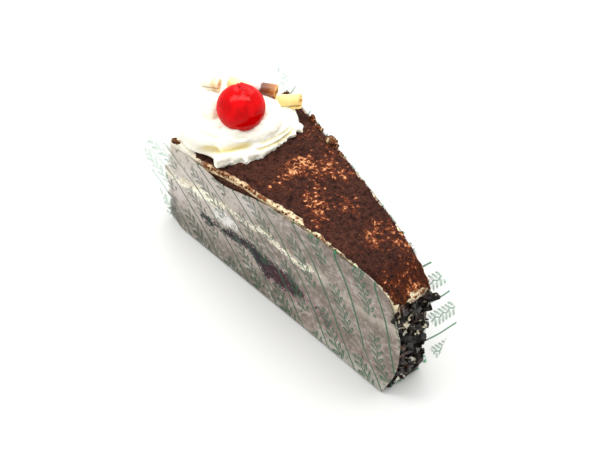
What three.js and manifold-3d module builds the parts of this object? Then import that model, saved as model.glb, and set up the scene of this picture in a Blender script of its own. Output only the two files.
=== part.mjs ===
// A slice of black forest cake lying in its folded clear film.
// Millimetres, +Z up. +X runs from the wide rim end to the narrow end, and the origin is on
// the flat underside of the film, halfway along the slice.

import * as THREE from 'three';
import { mergeVertices } from 'three/addons/utils/BufferGeometryUtils.js';
import Module from 'manifold-3d';

const wasm = await Module();
wasm.setup();

// ---------------------------------------------------------------- driving dimensions

const LENGTH = 118; // from the rim corner to the narrow end, outside the film
const RIM_WIDTH = 55;
const END_WIDTH = 16.5;
const RIM_BULGE = 2.75; // the round rim stands this far past its two corners
const END_BULGE = 0.6;
const FILM = 0.4; // film thickness
const GAP = 0.3; // between neighbouring pieces

// Height of the dusted top along the slice, as [x, z]
const TOP_LINE = [[-59, 46.2], [-45, 47.6], [-30, 49.4], [-15, 51.4], [0, 52.9], [30, 54.5], [46, 53.1], [58, 49]];
const TOP_EDGE_DROP = 0.9; // the top falls this much at the cut faces
const CREAM_SAG = 2.6; // and sinks this much more at one edge, under the piped cream
const CREAM_SAG_AT = -41;
const CREAM_SAG_LENGTH = 10;
const TOP_EDGE_ROUND = 2.2; // and rounds over this much at the rim and the narrow end

const SHARD_DEPTH = 2; // the shards fill this much of the length at the narrow end
const COAT_RIM = 3.2; // cream thickness on the rim
const COAT_END = 2.6; // and on the narrow end
const COAT_TOP = [[-59, 4.6], [-48, 4.2], [-38, 2.6], [-20, 2.2], [60, 2.2]]; // and on the top, by x

// Middle height and thickness of the two fillings along the slice, as [x, value]
const FILLING_HEIGHT = [[-60, 17.4], [-20, 16.8], [0, 15.8], [20, 16.4], [60, 16.2]];
const FILLING_THICKNESS = [[-60, 3.2], [-38, 3.8], [-20, 5.6], [-8, 9.6], [8, 9.2], [19, 5.2], [32, 1.6], [37, 0]];
const CREAM_HEIGHT = [[-60, 27.5], [-46, 30.6], [-30, 32.4], [-10, 33.3], [30, 33.8], [60, 33.4]];
const CREAM_THICKNESS = [[-60, 2.6], [-30, 3], [-10, 2.6], [20, 2.2], [60, 1.6]];

const BASE_HEIGHT = FILM + GAP; // the cake stands on the film's floor

// The cherry and the cream under it
const CHERRY = { centre: new THREE.Vector3(-40, -6, 65), radius: 9.35 };
const CREAM_MIDDLE = new THREE.Vector2(-45, -3);
const CREAM_OUTLINE = [
  [-32.6, -23.4], [-31, -19.6], [-29.2, -14], [-26.4, -7.6], [-26.2, -2], [-28.4, 4], [-29, 10.4], [-33.6, 16.4],
  [-39.5, 18.4], [-46.5, 18.8], [-54, 16.6], [-59.6, 8], [-60.8, -4], [-59.6, -15], [-57, -23.4], [-49, -25.2],
  [-42, -22.2], [-37, -21],
];
const CREAM_RISE = 8.4; // the mound's height over the cake

// Ropes of piped cream as [x, y, z, radius] along the middle of each
const LOWER_ROPE = [
  [-33.2, -22.2, 48.8, 1.9], [-33.2, -18.2, 49.6, 2.8], [-31.4, -12.6, 50.6, 3.3], [-29, -7, 51.2, 3.3],
  [-29.2, -1.4, 51.4, 3.3], [-32, 5.4, 51.2, 3.4], [-34.6, 11.4, 51.2, 3.4], [-40.6, 15, 51.4, 3.7],
  [-48, 13.8, 51.4, 4], [-54, 7.5, 51.6, 4],
];
const UPPER_ROPE = [
  [-56.6, -19.4, 50, 3.6], [-51, -21, 51.4, 4.3], [-44.4, -19.6, 53.4, 4.4], [-38.8, -15.8, 55, 4.3],
  [-34.4, -10.4, 56, 3.9], [-32.6, -3.6, 56, 3.8], [-34.6, 3.8, 56, 4.2], [-40.6, 7, 56.6, 4.7],
  [-48, 4.6, 57.6, 4.7], [-54, -2, 58, 4.6], [-55, -9.6, 58.4, 4.5], [-48.6, -13.6, 57, 4],
];
const ROPE_SIDES = 8;
const ROPE_STEPS = 24;

// Chocolate curls from end to end of each roll, with its outer radius and its turns
const CURLS = [
  { name: 'curl_left', from: [-61, -10.2, 64.6], to: [-54.4, -6.2, 66], radius: 2.8, turns: 1.5, colour: 0xf3dc9a },
  { name: 'curl_middle', from: [-56.4, -0.8, 62.4], to: [-41.6, 11.2, 62.9], radius: 3.3, turns: 1.7, colour: 0xb98d76 },
  { name: 'curl_right', from: [-44.6, 12.2, 55], to: [-36.8, 19.2, 58], radius: 3.2, turns: 1.7, colour: 0xf2d27c },
];
const CURL_SHEET = 0.9; // thickness of the rolled chocolate
const CURL_SPACE = 0.35; // between its turns
const CURL_POINTS_PER_TURN = 12;

// Chocolate shards pressed into the cream: length, width and thickness ranges
const SHARD = { length: [3.2, 5.6], width: [2.2, 4], thickness: [0.9, 1.5] };
const SHARD_SPACING = 4.2; // on the narrow end
const RIM_SHARD_SPACING = 6.8;
const SHARD_FOOT = 3.2; // lowest middle of a shard
const END_SHARD_TOP = 46;
const RIM_SHARD_TOP = 37;
const SHARD_REACH = 3.4; // none stands further out than this
const LOOSE_SHARD = { at: [58.4, 7.6, 43.4], length: 5.6, width: 2.6, thickness: 1.3, turn: [0.4, -0.5, -0.7] };

// The film: height of its top edge along each cut face as [x, z]
const LEFT_EDGE = [
  [-74, 40.6], [-58, 41.8], [-46, 43.6], [-38, 43.9], [-32, 42.9], [-27, 43.2], [-20, 45.4], [-12, 48.4],
  [-4, 50.3], [7, 51.4], [22, 53.2], [36, 54], [46, 53.8], [54, 50.4], [60, 45],
];
const RIGHT_EDGE = [
  [-74, 49], [-52, 52], [-44, 51.4], [-38, 50.2], [-30, 50.2], [-20, 51], [0, 52.4], [30, 53.6], [60, 52],
  [66, 49.4], [70, 46],
];
// and the x of its free ends, by height
const LEFT_RIM_END = [[0, -63], [16, -66], [38, -72], [48, -69]];
const RIGHT_RIM_END = [[0, -63], [16, -65], [38, -69], [48, -67]];
const LEFT_FAR_END = [[0, 58], [10, 60.4], [22, 62], [32, 61.8], [40, 60.4], [46, 57.6], [52, 52]];
const RIGHT_FAR_END = [[0, 57.6], [8, 62], [20, 64.4], [32, 67], [42, 69.6], [48, 68], [53, 62]];
const FOLD_RADIUS = 1; // where the walls turn into the floor
const LEFT_FLARE = 0.4; // the walls lean out by this at the foot of the narrow end
const RIGHT_FLARE = 4.2;
const RIM_FLARE = 1.4; // and by this at their free ends past the rim
const LEFT_FOOT = 2.1; // the walls stand out by this along their feet, curving in over the foot's height
const RIGHT_FOOT = 1.2;
const FOOT_HEIGHT = 12;
const WALL_EASE = 1.6; // the rows of a wall lie closer towards its foot
const FILM_COLUMNS = 22;
const WALL_ROWS = 5;
const FOLD_ROWS = 2;
const FLOOR_ROWS = 4;

const CAKE_COLUMNS = 20; // steps along the layers
const FILLING_COLUMNS = 16; // the cherry filling thins out after this many of them
const CAKE_ROWS = 4; // and across

// ---------------------------------------------------------------- shared shapes

// A smooth line through [place, value] pairs, level past its two ends
function line(points) {
  const curve = new THREE.CubicInterpolant(points.map((p) => p[0]), points.map((p) => p[1]), 1);
  return (place) => curve.evaluate(place)[0];
}

const COAT_FROM = -LENGTH / 2;
const COAT_TO = LENGTH / 2 - SHARD_DEPTH;
const CAKE_FROM = COAT_FROM + COAT_RIM;
const CAKE_TO = COAT_TO - COAT_END;
const CAKE_COLUMN = (CAKE_TO - CAKE_FROM) / CAKE_COLUMNS;

const topLine = line(TOP_LINE);
const coatTop = line(COAT_TOP);
const fillingHeight = line(FILLING_HEIGHT);
const fillingThickness = line(FILLING_THICKNESS);
const creamHeight = line(CREAM_HEIGHT);
const creamThickness = line(CREAM_THICKNESS);

// Repeatable draws between 0 and 1
function makeDraw(seed) {
  let state = seed;
  return () => {
    state = (state * 1664525 + 1013904223) % 4294967296;
    return state / 4294967296;
  };
}

function between([low, high], share) {
  return THREE.MathUtils.lerp(low, high, share);
}

// Half of the slice's width at x, outside the film
function halfWidth(x) {
  return THREE.MathUtils.mapLinear(x, -LENGTH / 2, LENGTH / 2, RIM_WIDTH / 2, END_WIDTH / 2);
}

// Half of the cake's own width at x
function cakeHalfWidth(x) {
  return halfWidth(x) - FILM - GAP;
}

// Height of the dusted top, across from -1 at one cut face to 1 at the other
function topHeight(x, across) {
  const sag = CREAM_SAG * Math.exp(-(((x - CREAM_SAG_AT) / CREAM_SAG_LENGTH) ** 2));
  return topLine(x) - TOP_EDGE_DROP * across ** 6 - sag * ((1 - across) / 2) ** 2;
}

// One geometry class with its seams merged and every vertex moved by place()
function shaped(geometry, place) {
  geometry.deleteAttribute('normal');
  geometry.deleteAttribute('uv');
  const merged = mergeVertices(geometry, 1e-4);
  const position = merged.attributes.position;
  const point = new THREE.Vector3();
  for (let i = 0; i < position.count; i++) {
    place(point.fromBufferAttribute(position, i));
    position.setXYZ(i, point.x, point.y, point.z);
  }
  return merged;
}

function toSolid(geometry) {
  return new wasm.Manifold(new wasm.Mesh({
    numProp: 3,
    vertProperties: new Float32Array(geometry.attributes.position.array),
    triVerts: new Uint32Array(geometry.index.array),
  }));
}

// The largest single body of a solid, as a geometry
function toGeometry(solid) {
  const bodies = solid.decompose().sort((a, b) => b.volume() - a.volume());
  const mesh = bodies[0].getMesh();
  const geometry = new THREE.BufferGeometry();
  geometry.setAttribute('position', new THREE.BufferAttribute(mesh.vertProperties, 3));
  geometry.setIndex(new THREE.BufferAttribute(mesh.triVerts, 1));
  return geometry;
}

// A block of cake between two x, with its upper and lower faces given as functions of x and
// of the share across. Its ends follow the round rim and the narrow end.
function cakeBlock({ from, to, lower, upper, side = cakeHalfWidth, columns, rows, layers = 1 }) {
  return shaped(new THREE.BoxGeometry(1, 1, 1, columns, rows, layers), (p) => {
    const across = p.y * 2;
    const straight = THREE.MathUtils.lerp(from, to, p.x + 0.5);
    const low = lower(straight, across);
    const high = upper(straight, across);
    p.set(straight + bulge(straight, across), across * side(straight), THREE.MathUtils.lerp(low, high, p.z + 0.5));
  });
}

// How far the middle of the slice is shifted along, from the round rim to the narrow end
function bulge(x, across) {
  const share = THREE.MathUtils.clamp((x - COAT_FROM) / (COAT_TO - COAT_FROM), 0, 1);
  return (1 - across ** 2) * THREE.MathUtils.lerp(-RIM_BULGE, END_BULGE, share);
}

// ---------------------------------------------------------------- cake layers

// The layers' boundaries waver along the slice and, alike on all of them, across it
function waver(x) {
  return 0.35 * Math.sin(x * 0.31) + 0.25 * Math.sin(x * 0.67 + 1);
}

function sway(across) {
  return 0.5 * Math.sin(across * 2.6 + 0.7);
}

// The lower (-1) or upper (1) face of a filling, whose two faces meet where it thins to nothing
function fillingFace(height, thickness, face) {
  return (x, across) => {
    const half = (Math.max(0, thickness(x)) / 2) * (1 + 0.3 * waver(x * 1.6 + 9 * face));
    return height(x) + waver(x) + sway(across) + face * half;
  };
}

const boundary = {
  floor: () => BASE_HEIGHT,
  underFilling: fillingFace(fillingHeight, fillingThickness, -1),
  overFilling: fillingFace(fillingHeight, fillingThickness, 1),
  underCream: fillingFace(creamHeight, creamThickness, -1),
  overCream: fillingFace(creamHeight, creamThickness, 1),
  underCoat: (x, across) => topHeight(x, across) - coatTop(x),
};

// A layer keeps half a gap to its boundary on either side
const above = (edge) => (x, across) => edge(x, across) + GAP / 2;
const below = (edge) => (x, across) => edge(x, across) - GAP / 2;

function layer(lower, upper, columns = CAKE_COLUMNS) {
  return cakeBlock({
    from: CAKE_FROM, to: CAKE_FROM + columns * CAKE_COLUMN, lower, upper, columns, rows: CAKE_ROWS,
  });
}

function layerGeometries() {
  return {
    sponge_base: layer(boundary.floor, below(boundary.underFilling)),
    cherry_filling: layer(above(boundary.underFilling), below(boundary.overFilling), FILLING_COLUMNS),
    sponge_middle: layer(above(boundary.overFilling), below(boundary.underCream)),
    cream_middle: layer(above(boundary.underCream), below(boundary.overCream)),
    sponge_top: layer(above(boundary.overCream), below(boundary.underCoat)),
  };
}

// ---------------------------------------------------------------- cream coat with its shards

// The top rounds over as it nears either end
function roundedTop(x, across) {
  const inset = Math.min(x - COAT_FROM, COAT_TO - x);
  const over = Math.max(0, 1 - inset / TOP_EDGE_ROUND);
  return topHeight(x, across) - TOP_EDGE_ROUND * (1 - Math.sqrt(1 - over ** 2 * 0.96));
}

function coatBlock(lift) {
  return cakeBlock({
    from: COAT_FROM, to: COAT_TO, lower: boundary.floor, columns: 26, rows: 6, layers: 2,
    upper: (x, a) => roundedTop(x, a) + lift,
  });
}

// One shard as a flat six-sided chip with uneven corners
function shard({ at, length, width, thickness, turn }, draw) {
  const uneven = () => 0.75 + 0.5 * draw();
  const chip = shaped(new THREE.BoxGeometry(1, 1, 1), (p) => {
    p.set(p.x * thickness * uneven(), p.y * length * uneven(), p.z * width * uneven());
  });
  chip.applyMatrix4(new THREE.Matrix4().makeRotationFromEuler(new THREE.Euler(...turn)));
  chip.translate(...at);
  return toSolid(chip);
}

// Shards over one end of the cake: facing is 1 at the narrow end and -1 at the rim
function shardField({ seed, facing, at, bulge, spacing, top, halfSpan }) {
  const draw = makeDraw(seed);
  const shards = [];
  for (let z = SHARD_FOOT; z < top; z += spacing * 0.82) {
    for (let y = -halfSpan; y <= halfSpan; y += spacing) {
      const across = y + spacing * (draw() - 0.5);
      const out = bulge * (1 - (across / halfSpan) ** 2) + 0.9 * draw();
      shards.push(shard({
        at: [at + facing * out, across, z + spacing * (draw() - 0.5)],
        length: between(SHARD.length, draw()),
        width: between(SHARD.width, draw()),
        thickness: between(SHARD.thickness, draw()),
        turn: [(draw() - 0.5) * Math.PI, (draw() - 0.5) * 1.5, (draw() - 0.5) * 1.5],
      }, draw));
    }
  }
  return shards;
}

function coatGeometry() {
  const core = cakeBlock({
    from: CAKE_FROM - GAP, to: CAKE_TO + GAP, lower: () => -5, upper: (x, a) => boundary.underCoat(x, a) + GAP / 2,
    side: (x) => halfWidth(x) + 1, columns: CAKE_COLUMNS, rows: CAKE_ROWS,
  });
  const bare = toSolid(coatBlock(0)).subtract(toSolid(core));
  const shards = [
    ...shardField({
      seed: 11, facing: 1, at: COAT_TO, bulge: END_BULGE, spacing: SHARD_SPACING, top: END_SHARD_TOP,
      halfSpan: cakeHalfWidth(COAT_TO) - 0.8,
    }),
    ...shardField({
      seed: 23, facing: -1, at: COAT_FROM, bulge: RIM_BULGE, spacing: RIM_SHARD_SPACING, top: RIM_SHARD_TOP,
      halfSpan: cakeHalfWidth(COAT_FROM) - 0.8,
    }),
  ];
  // Shards stay out of the layers and inside the film
  const room = toSolid(cakeBlock({
    from: COAT_FROM - SHARD_REACH, to: COAT_TO + SHARD_REACH, lower: boundary.floor, upper: () => END_SHARD_TOP + 1,
    columns: 8, rows: 6,
  }));
  const kept = wasm.Manifold.union(shards).intersect(room).subtract(toSolid(core));
  return toGeometry(bare.add(kept).add(shard(LOOSE_SHARD, makeDraw(5))));
}

// ---------------------------------------------------------------- piped cream and cherry

// A rope of cream along [x, y, z, radius] points, closed at both ends
function rope(points) {
  const path = new THREE.CatmullRomCurve3(points.map(([x, y, z]) => new THREE.Vector3(x, y, z)));
  const radius = line(points.map((p, i) => [i / (points.length - 1), p[3]]));
  const up = new THREE.Vector3(0, 0, 1);
  return shaped(new THREE.SphereGeometry(1, ROPE_SIDES, ROPE_STEPS), (p) => {
    const along = THREE.MathUtils.clamp((1 - p.y) / 2, 0, 1);
    const tangent = path.getTangent(along);
    const side = new THREE.Vector3().crossVectors(up, tangent).normalize();
    const over = new THREE.Vector3().crossVectors(tangent, side);
    const thick = radius(along) * ropeEnd(p.y);
    const x = p.x * thick;
    const z = p.z * thick;
    p.copy(path.getPoint(along)).addScaledVector(side, x).addScaledVector(over, z);
  });
}

// A ball's section swells fast, so that a rope made from it keeps its thickness along its length
function ropeEnd(height) {
  const section = Math.sqrt(Math.max(1e-6, 1 - height ** 2));
  return Math.min(1, section * 2.2) / section;
}

// The mound under the ropes: a dome over a free outline
function mound() {
  const outline = new THREE.CatmullRomCurve3(CREAM_OUTLINE.map(([x, y]) => new THREE.Vector3(x, y, 0)), true);
  return shaped(new THREE.SphereGeometry(1, 32, 10), (p) => {
    const turn = THREE.MathUtils.euclideanModulo(Math.atan2(p.z, -p.x) / (2 * Math.PI), 1);
    const reach = Math.hypot(p.x, p.z);
    const edge = outline.getPoint(turn);
    const x = THREE.MathUtils.lerp(CREAM_MIDDLE.x, edge.x, reach);
    const y = THREE.MathUtils.lerp(CREAM_MIDDLE.y, edge.y, reach);
    const rise = p.y > 0 ? CREAM_RISE * p.y ** 0.75 : -6 * Math.abs(p.y);
    p.set(x, y, topLine(x) + 0.8 + rise);
  });
}

function ball(centre, radius) {
  const geometry = new THREE.SphereGeometry(radius, 24, 16);
  geometry.translate(centre.x, centre.y, centre.z);
  return shaped(geometry, () => {});
}

// A plain roll of a curl's outer size, made larger by a clearance
function curlBore(curl) {
  const from = new THREE.Vector3(...curl.from);
  const to = new THREE.Vector3(...curl.to);
  const along = new THREE.Vector3().subVectors(to, from);
  const length = along.length() + 2 * GAP;
  const roll = new THREE.CylinderGeometry(curl.radius + GAP, curl.radius + GAP, length, 16);
  roll.applyQuaternion(new THREE.Quaternion().setFromUnitVectors(new THREE.Vector3(0, 1, 0), along.normalize()));
  const middle = from.add(to).multiplyScalar(0.5);
  roll.translate(middle.x, middle.y, middle.z);
  return shaped(roll, () => {});
}

function rosetteGeometry() {
  let cream = toSolid(mound()).add(toSolid(rope(LOWER_ROPE))).add(toSolid(rope(UPPER_ROPE)));
  cream = cream.subtract(toSolid(coatBlock(GAP)));
  cream = cream.subtract(toSolid(ball(CHERRY.centre, CHERRY.radius + GAP)));
  for (const curl of CURLS) {
    cream = cream.subtract(toSolid(curlBore(curl)));
  }
  // The cream ends level with the film's outside, over the film's top edge
  const room = cakeBlock({
    from: COAT_FROM - 2, to: 0, lower: () => 40, upper: () => 75, side: cakeHalfWidth, columns: 6, rows: 6,
  });
  return toGeometry(cream.intersect(toSolid(room)));
}

// The cherry, with the crease where its stem came off
function cherryGeometry() {
  const stem = new THREE.Vector3(-0.11, 0.26, 0.96).normalize();
  return shaped(new THREE.SphereGeometry(1, 24, 16), (p) => {
    const near = p.angleTo(stem);
    const dimple = 0.4 * Math.exp(-((near / 0.3) ** 2));
    const flat = 1 - 0.03 * Math.abs(p.z);
    p.multiplyScalar((CHERRY.radius - dimple) * flat).add(CHERRY.centre);
  });
}

// ---------------------------------------------------------------- chocolate curls

// The end-on outline of a rolled sheet
function rollShape({ radius, turns }) {
  const count = Math.round(turns * CURL_POINTS_PER_TURN);
  const pitch = CURL_SHEET + CURL_SPACE;
  const point = (i, inward) => {
    const angle = (i / CURL_POINTS_PER_TURN) * 2 * Math.PI;
    const reach = radius - inward - (pitch * i) / CURL_POINTS_PER_TURN;
    return new THREE.Vector2(reach * Math.cos(angle), reach * Math.sin(angle));
  };
  const outer = Array.from({ length: count + 1 }, (_, i) => point(i, 0));
  const inner = Array.from({ length: count + 1 }, (_, i) => point(count - i, CURL_SHEET));
  return new THREE.Shape([...outer, ...inner]);
}

function curlGeometry(curl) {
  const from = new THREE.Vector3(...curl.from);
  const along = new THREE.Vector3(...curl.to).sub(from);
  const roll = new THREE.ExtrudeGeometry(rollShape(curl), { depth: along.length(), bevelEnabled: false });
  roll.applyQuaternion(new THREE.Quaternion().setFromUnitVectors(new THREE.Vector3(0, 0, 1), along.normalize()));
  roll.translate(from.x, from.y, from.z);
  return shaped(roll, () => {});
}

// ---------------------------------------------------------------- film

const leftEdge = line(LEFT_EDGE);
const rightEdge = line(RIGHT_EDGE);
const leftRimEnd = line(LEFT_RIM_END);
const rightRimEnd = line(RIGHT_RIM_END);
const leftFarEnd = line(LEFT_FAR_END);
const rightFarEnd = line(RIGHT_FAR_END);

// How far a wall leans out of the cake's side, by x, its height and the share of that height
function flare(x, z, up, right) {
  const far = THREE.MathUtils.smoothstep(x, right ? 30 : 10, LENGTH / 2 + 4);
  const past = THREE.MathUtils.smoothstep(-x, LENGTH / 2 - 2, LENGTH / 2 + 14);
  const lean = right ? RIGHT_FLARE * (1 - 0.35 * up) : LEFT_FLARE * (1 - up);
  const curve = Math.max(0, 1 - Math.max(0, z - FOLD_RADIUS) / FOOT_HEIGHT) ** 2;
  const foot = (right ? RIGHT_FOOT : LEFT_FOOT) * curve * THREE.MathUtils.smoothstep(x, -62, -50);
  return far * lean + past * RIM_FLARE + foot;
}

// A point of the film: inward is 0 on its outside and the film's thickness on its inside
function filmPoint(along, around, inward) {
  const rows = 2 * (WALL_ROWS + FOLD_ROWS) + FLOOR_ROWS;
  const step = Math.round(around * rows);
  const right = step > rows / 2;
  const fromEdge = right ? rows - step : step;
  const side = right ? 1 : -1;
  const rimEnd = right ? rightRimEnd : leftRimEnd;
  const farEnd = right ? rightFarEnd : leftFarEnd;
  const edge = right ? rightEdge : leftEdge;
  const share = Math.max(0, 1 - fromEdge / WALL_ROWS) ** WALL_EASE;
  const nominal = share * 50;
  const x = THREE.MathUtils.lerp(rimEnd(nominal), farEnd(nominal), along);
  const foot = halfWidth(x) + flare(x, FOLD_RADIUS, 0, right);
  if (fromEdge <= WALL_ROWS) {
    const z = THREE.MathUtils.lerp(FOLD_RADIUS, edge(x), share);
    return new THREE.Vector3(x, side * (halfWidth(x) + flare(x, z, share, right) - inward), z);
  }
  if (fromEdge <= WALL_ROWS + FOLD_ROWS) {
    const turn = ((fromEdge - WALL_ROWS) / FOLD_ROWS) * Math.PI / 2;
    const reach = FOLD_RADIUS - inward;
    return new THREE.Vector3(
      x,
      side * (foot - FOLD_RADIUS + reach * Math.cos(turn)),
      FOLD_RADIUS - reach * Math.sin(turn),
    );
  }
  const floor = (fromEdge - WALL_ROWS - FOLD_ROWS) / (FLOOR_ROWS / 2);
  return new THREE.Vector3(x, side * (foot - FOLD_RADIUS) * (1 - floor), inward);
}

function filmGeometry() {
  const rows = 2 * (WALL_ROWS + FOLD_ROWS) + FLOOR_ROWS;
  return shaped(new THREE.BoxGeometry(1, 1, 1, FILM_COLUMNS, rows, 1), (p) => {
    p.copy(filmPoint(p.x + 0.5, p.y + 0.5, (p.z + 0.5) * FILM));
  });
}

// ---------------------------------------------------------------- the slice

const LOOKS = {
  film: { color: 0xb9c4b8, roughness: 0.15, metalness: 0 },
  sponge: { color: 0x4a2a1d, roughness: 0.95, metalness: 0 },
  filling: { color: 0x4a1623, roughness: 0.3, metalness: 0 },
  cream: { color: 0xf7efdc, roughness: 0.55, metalness: 0 },
  coat: { color: 0x5a3528, roughness: 0.9, metalness: 0 },
  cherry: { color: 0xd4060d, roughness: 0.12, metalness: 0 },
};

function piece(name, geometry, look) {
  geometry.computeVertexNormals();
  const mesh = new THREE.Mesh(geometry, new THREE.MeshStandardMaterial(look));
  mesh.name = name;
  return mesh;
}

function cakeSlice() {
  const slice = new THREE.Group();
  const layers = layerGeometries();
  const layerLooks = {
    sponge_base: LOOKS.sponge,
    cherry_filling: LOOKS.filling,
    sponge_middle: LOOKS.sponge,
    cream_middle: LOOKS.cream,
    sponge_top: LOOKS.sponge,
  };
  for (const [name, geometry] of Object.entries(layers)) {
    slice.add(piece(name, geometry, layerLooks[name]));
  }
  slice.add(piece('cream_coat', coatGeometry(), LOOKS.coat));
  slice.add(piece('rosette', rosetteGeometry(), LOOKS.cream));
  slice.add(piece('cherry', cherryGeometry(), LOOKS.cherry));
  for (const curl of CURLS) {
    slice.add(piece(curl.name, curlGeometry(curl), { color: curl.colour, roughness: 0.4, metalness: 0 }));
  }
  slice.add(piece('film', filmGeometry(), LOOKS.film));
  return slice;
}

export default cakeSlice();
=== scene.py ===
"""A slice of black forest cake in its folded clear film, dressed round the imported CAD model.

The shape functions work in millimetres in the CAD model's own frame: +X runs from the wide rim end
to the narrow end, +Z is up, and the origin is on the film's flat underside. Finished meshes are in
metres.
"""

import bisect
import math
import random

import bmesh
import bpy
from mathutils import Euler, Matrix, Vector, noise


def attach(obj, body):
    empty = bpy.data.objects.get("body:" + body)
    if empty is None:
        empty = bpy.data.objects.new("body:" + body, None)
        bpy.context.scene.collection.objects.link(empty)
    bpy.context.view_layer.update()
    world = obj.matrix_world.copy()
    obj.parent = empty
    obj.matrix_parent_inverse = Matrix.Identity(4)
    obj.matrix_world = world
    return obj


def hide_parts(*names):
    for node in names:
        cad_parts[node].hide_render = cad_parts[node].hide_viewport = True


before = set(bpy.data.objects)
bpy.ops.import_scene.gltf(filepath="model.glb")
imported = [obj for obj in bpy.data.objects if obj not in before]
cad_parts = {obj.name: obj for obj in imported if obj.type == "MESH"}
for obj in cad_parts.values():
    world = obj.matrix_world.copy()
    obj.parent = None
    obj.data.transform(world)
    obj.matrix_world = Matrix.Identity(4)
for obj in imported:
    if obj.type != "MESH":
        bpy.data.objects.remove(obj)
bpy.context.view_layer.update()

bl_info = {
    "name": "Black Forest Cake Slice",
    "version": (1, 0, 0),
    "blender": (4, 5, 0),
    "location": "3D View > Sidebar > Cake Slice",
    "description": "Builds a slice of black forest cake in its clear film",
    "category": "Add Mesh",
}

MM = 0.001

# ---------------------------------------------------------------- sizes, in millimetres

LENGTH = 118
RIM_WIDTH = 55
END_WIDTH = 16.5
RIM_BULGE = 2.75
END_BULGE = 0.6
FILM = 0.4
GAP = 0.3

TOP_LINE = [(-59, 46.2), (-45, 47.6), (-30, 49.4), (-15, 51.4), (0, 52.9), (30, 54.5), (46, 53.1), (58, 49)]
TOP_EDGE_DROP = 0.9
CREAM_SAG = 2.6
CREAM_SAG_AT = -41
CREAM_SAG_LENGTH = 10
TOP_EDGE_ROUND = 2.2

SHARD_DEPTH = 2
COAT_RIM = 3.2
COAT_END = 2.6
COAT_TOP = [(-59, 4.6), (-48, 4.2), (-38, 2.6), (-20, 2.2), (60, 2.2)]

FILLING_HEIGHT = [(-60, 17.4), (-20, 16.8), (0, 15.8), (20, 16.4), (60, 16.2)]
FILLING_THICKNESS = [(-60, 3.2), (-38, 3.8), (-20, 5.6), (-8, 9.6), (8, 9.2), (19, 5.2), (32, 1.6), (37, 0)]
CREAM_HEIGHT = [(-60, 27.5), (-46, 30.6), (-30, 32.4), (-10, 33.3), (30, 33.8), (60, 33.4)]
CREAM_THICKNESS = [(-60, 2.6), (-30, 3), (-10, 2.6), (20, 2.2), (60, 1.6)]

BASE_HEIGHT = FILM + GAP
FILLING_GAP = 0.12
FILLING_SHARE = 0.8  # of the sponges' length, from the rim
TIP = 57  # past this the slice counts as no narrower, for what has to stay between the film's walls

CHERRY_CENTRE = Vector((-40, -6, 65))
CHERRY_RADIUS = 9.35
# The crease that the stem left, on a disc that faces the front, and that disc's directions
CHERRY_CREASE = [(-0.1, 1), (-0.08, 0.86), (-0.07, 0.78), (0.02, 0.716), (0.2, 0.6), (0.376, 0.46)]
FRONT = Vector((0.535, -0.398, 0.745))
FRONT_RIGHT = Vector((0.597, 0.802, 0))
FRONT_UP = Vector((-0.5975, 0.4448, 0.6667))
CREAM_MIDDLE = Vector((-45, -3))
CREAM_OUTLINE = [
    (-32.6, -23.4), (-31, -19.6), (-29.2, -14), (-26.4, -7.6), (-26.2, -2), (-28.4, 4), (-29, 10.4),
    (-33.6, 16.4), (-39.5, 18.4), (-46.5, 18.8), (-54, 16.6), (-59.6, 8), (-60.8, -4), (-59.6, -15),
    (-57, -23.4), (-49, -25.2), (-42, -22.2), (-37, -21),
]
CREAM_RISE = 8.4
CREAM_SINK = 6  # below the mound's rim
ROPE_SIDES = 20
ROPE_STEPS = 90
SCRAPS = 20
SCRAP_RADIUS = 1.2
LIPS = 18  # bits of cream that rise round the cherry's foot
LIP_REACH = 0.85  # of the cherry's radius
LIP_DROP = 5.4
FIRM_PASSES = 5  # of smoothing for the shape itself
SOFT_PASSES = 14  # further ones, to tell the hollows
LOWER_ROPE = [
    (-33.2, -22.2, 48.8, 1.9), (-33.2, -18.2, 49.6, 2.8), (-31.4, -12.6, 50.6, 3.3),
    (-29, -7, 51.2, 3.3), (-29.2, -1.4, 51.4, 3.3), (-32, 5.4, 51.2, 3.4), (-34.6, 11.4, 51.2, 3.4),
    (-40.6, 15, 51.4, 3.7), (-48, 13.8, 51.4, 4), (-54, 7.5, 51.6, 4),
]
UPPER_ROPE = [
    (-56.6, -19.4, 50, 3.6), (-51, -21, 51.4, 4.3), (-44.4, -19.6, 53.4, 4.4),
    (-38.8, -15.8, 55, 4.3), (-34.4, -10.4, 56, 3.9), (-32.6, -3.6, 56, 3.8), (-34.6, 3.8, 56, 4.2),
    (-40.6, 7, 56.6, 4.7), (-48, 4.6, 57.6, 4.7), (-54, -2, 58, 4.6), (-55, -9.6, 58.4, 4.5),
    (-48.6, -13.6, 57, 4),
]

CURLS = [
    ("curl_left", (-61, -10.2, 64.6), (-54.4, -6.2, 66), 2.8, 1.5),
    ("curl_middle", (-56.4, -0.8, 62.4), (-41.6, 11.2, 62.9), 3.3, 1.7),
    ("curl_right", (-44.6, 12.2, 55), (-36.8, 19.2, 58), 3.2, 1.7),
]
CURL_SHEET = 0.9
CURL_SPACE = 0.35

SHARD_LENGTH = (3.2, 5.6)
SHARD_WIDTH = (2.2, 4)
SHARD_THICKNESS = (0.9, 1.5)
END_SHARD_SPACING = 4.2
RIM_SHARD_SPACING = 6.8
SHARD_FOOT = 3.2
END_SHARD_TOP = 46
RIM_SHARD_TOP = 37
SHARD_SIDE_GAP = 0.8
SHARD_ROOM = 0.1
LOOSE_TOP = 40  # above this a shard may lean out over the film
SMALL_SHARDS = 90
LOOSE_SHARD = ((58.4, 7.6, 43.4), 5.6, 2.6, 1.3, (0.4, -0.5, -0.7))

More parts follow.
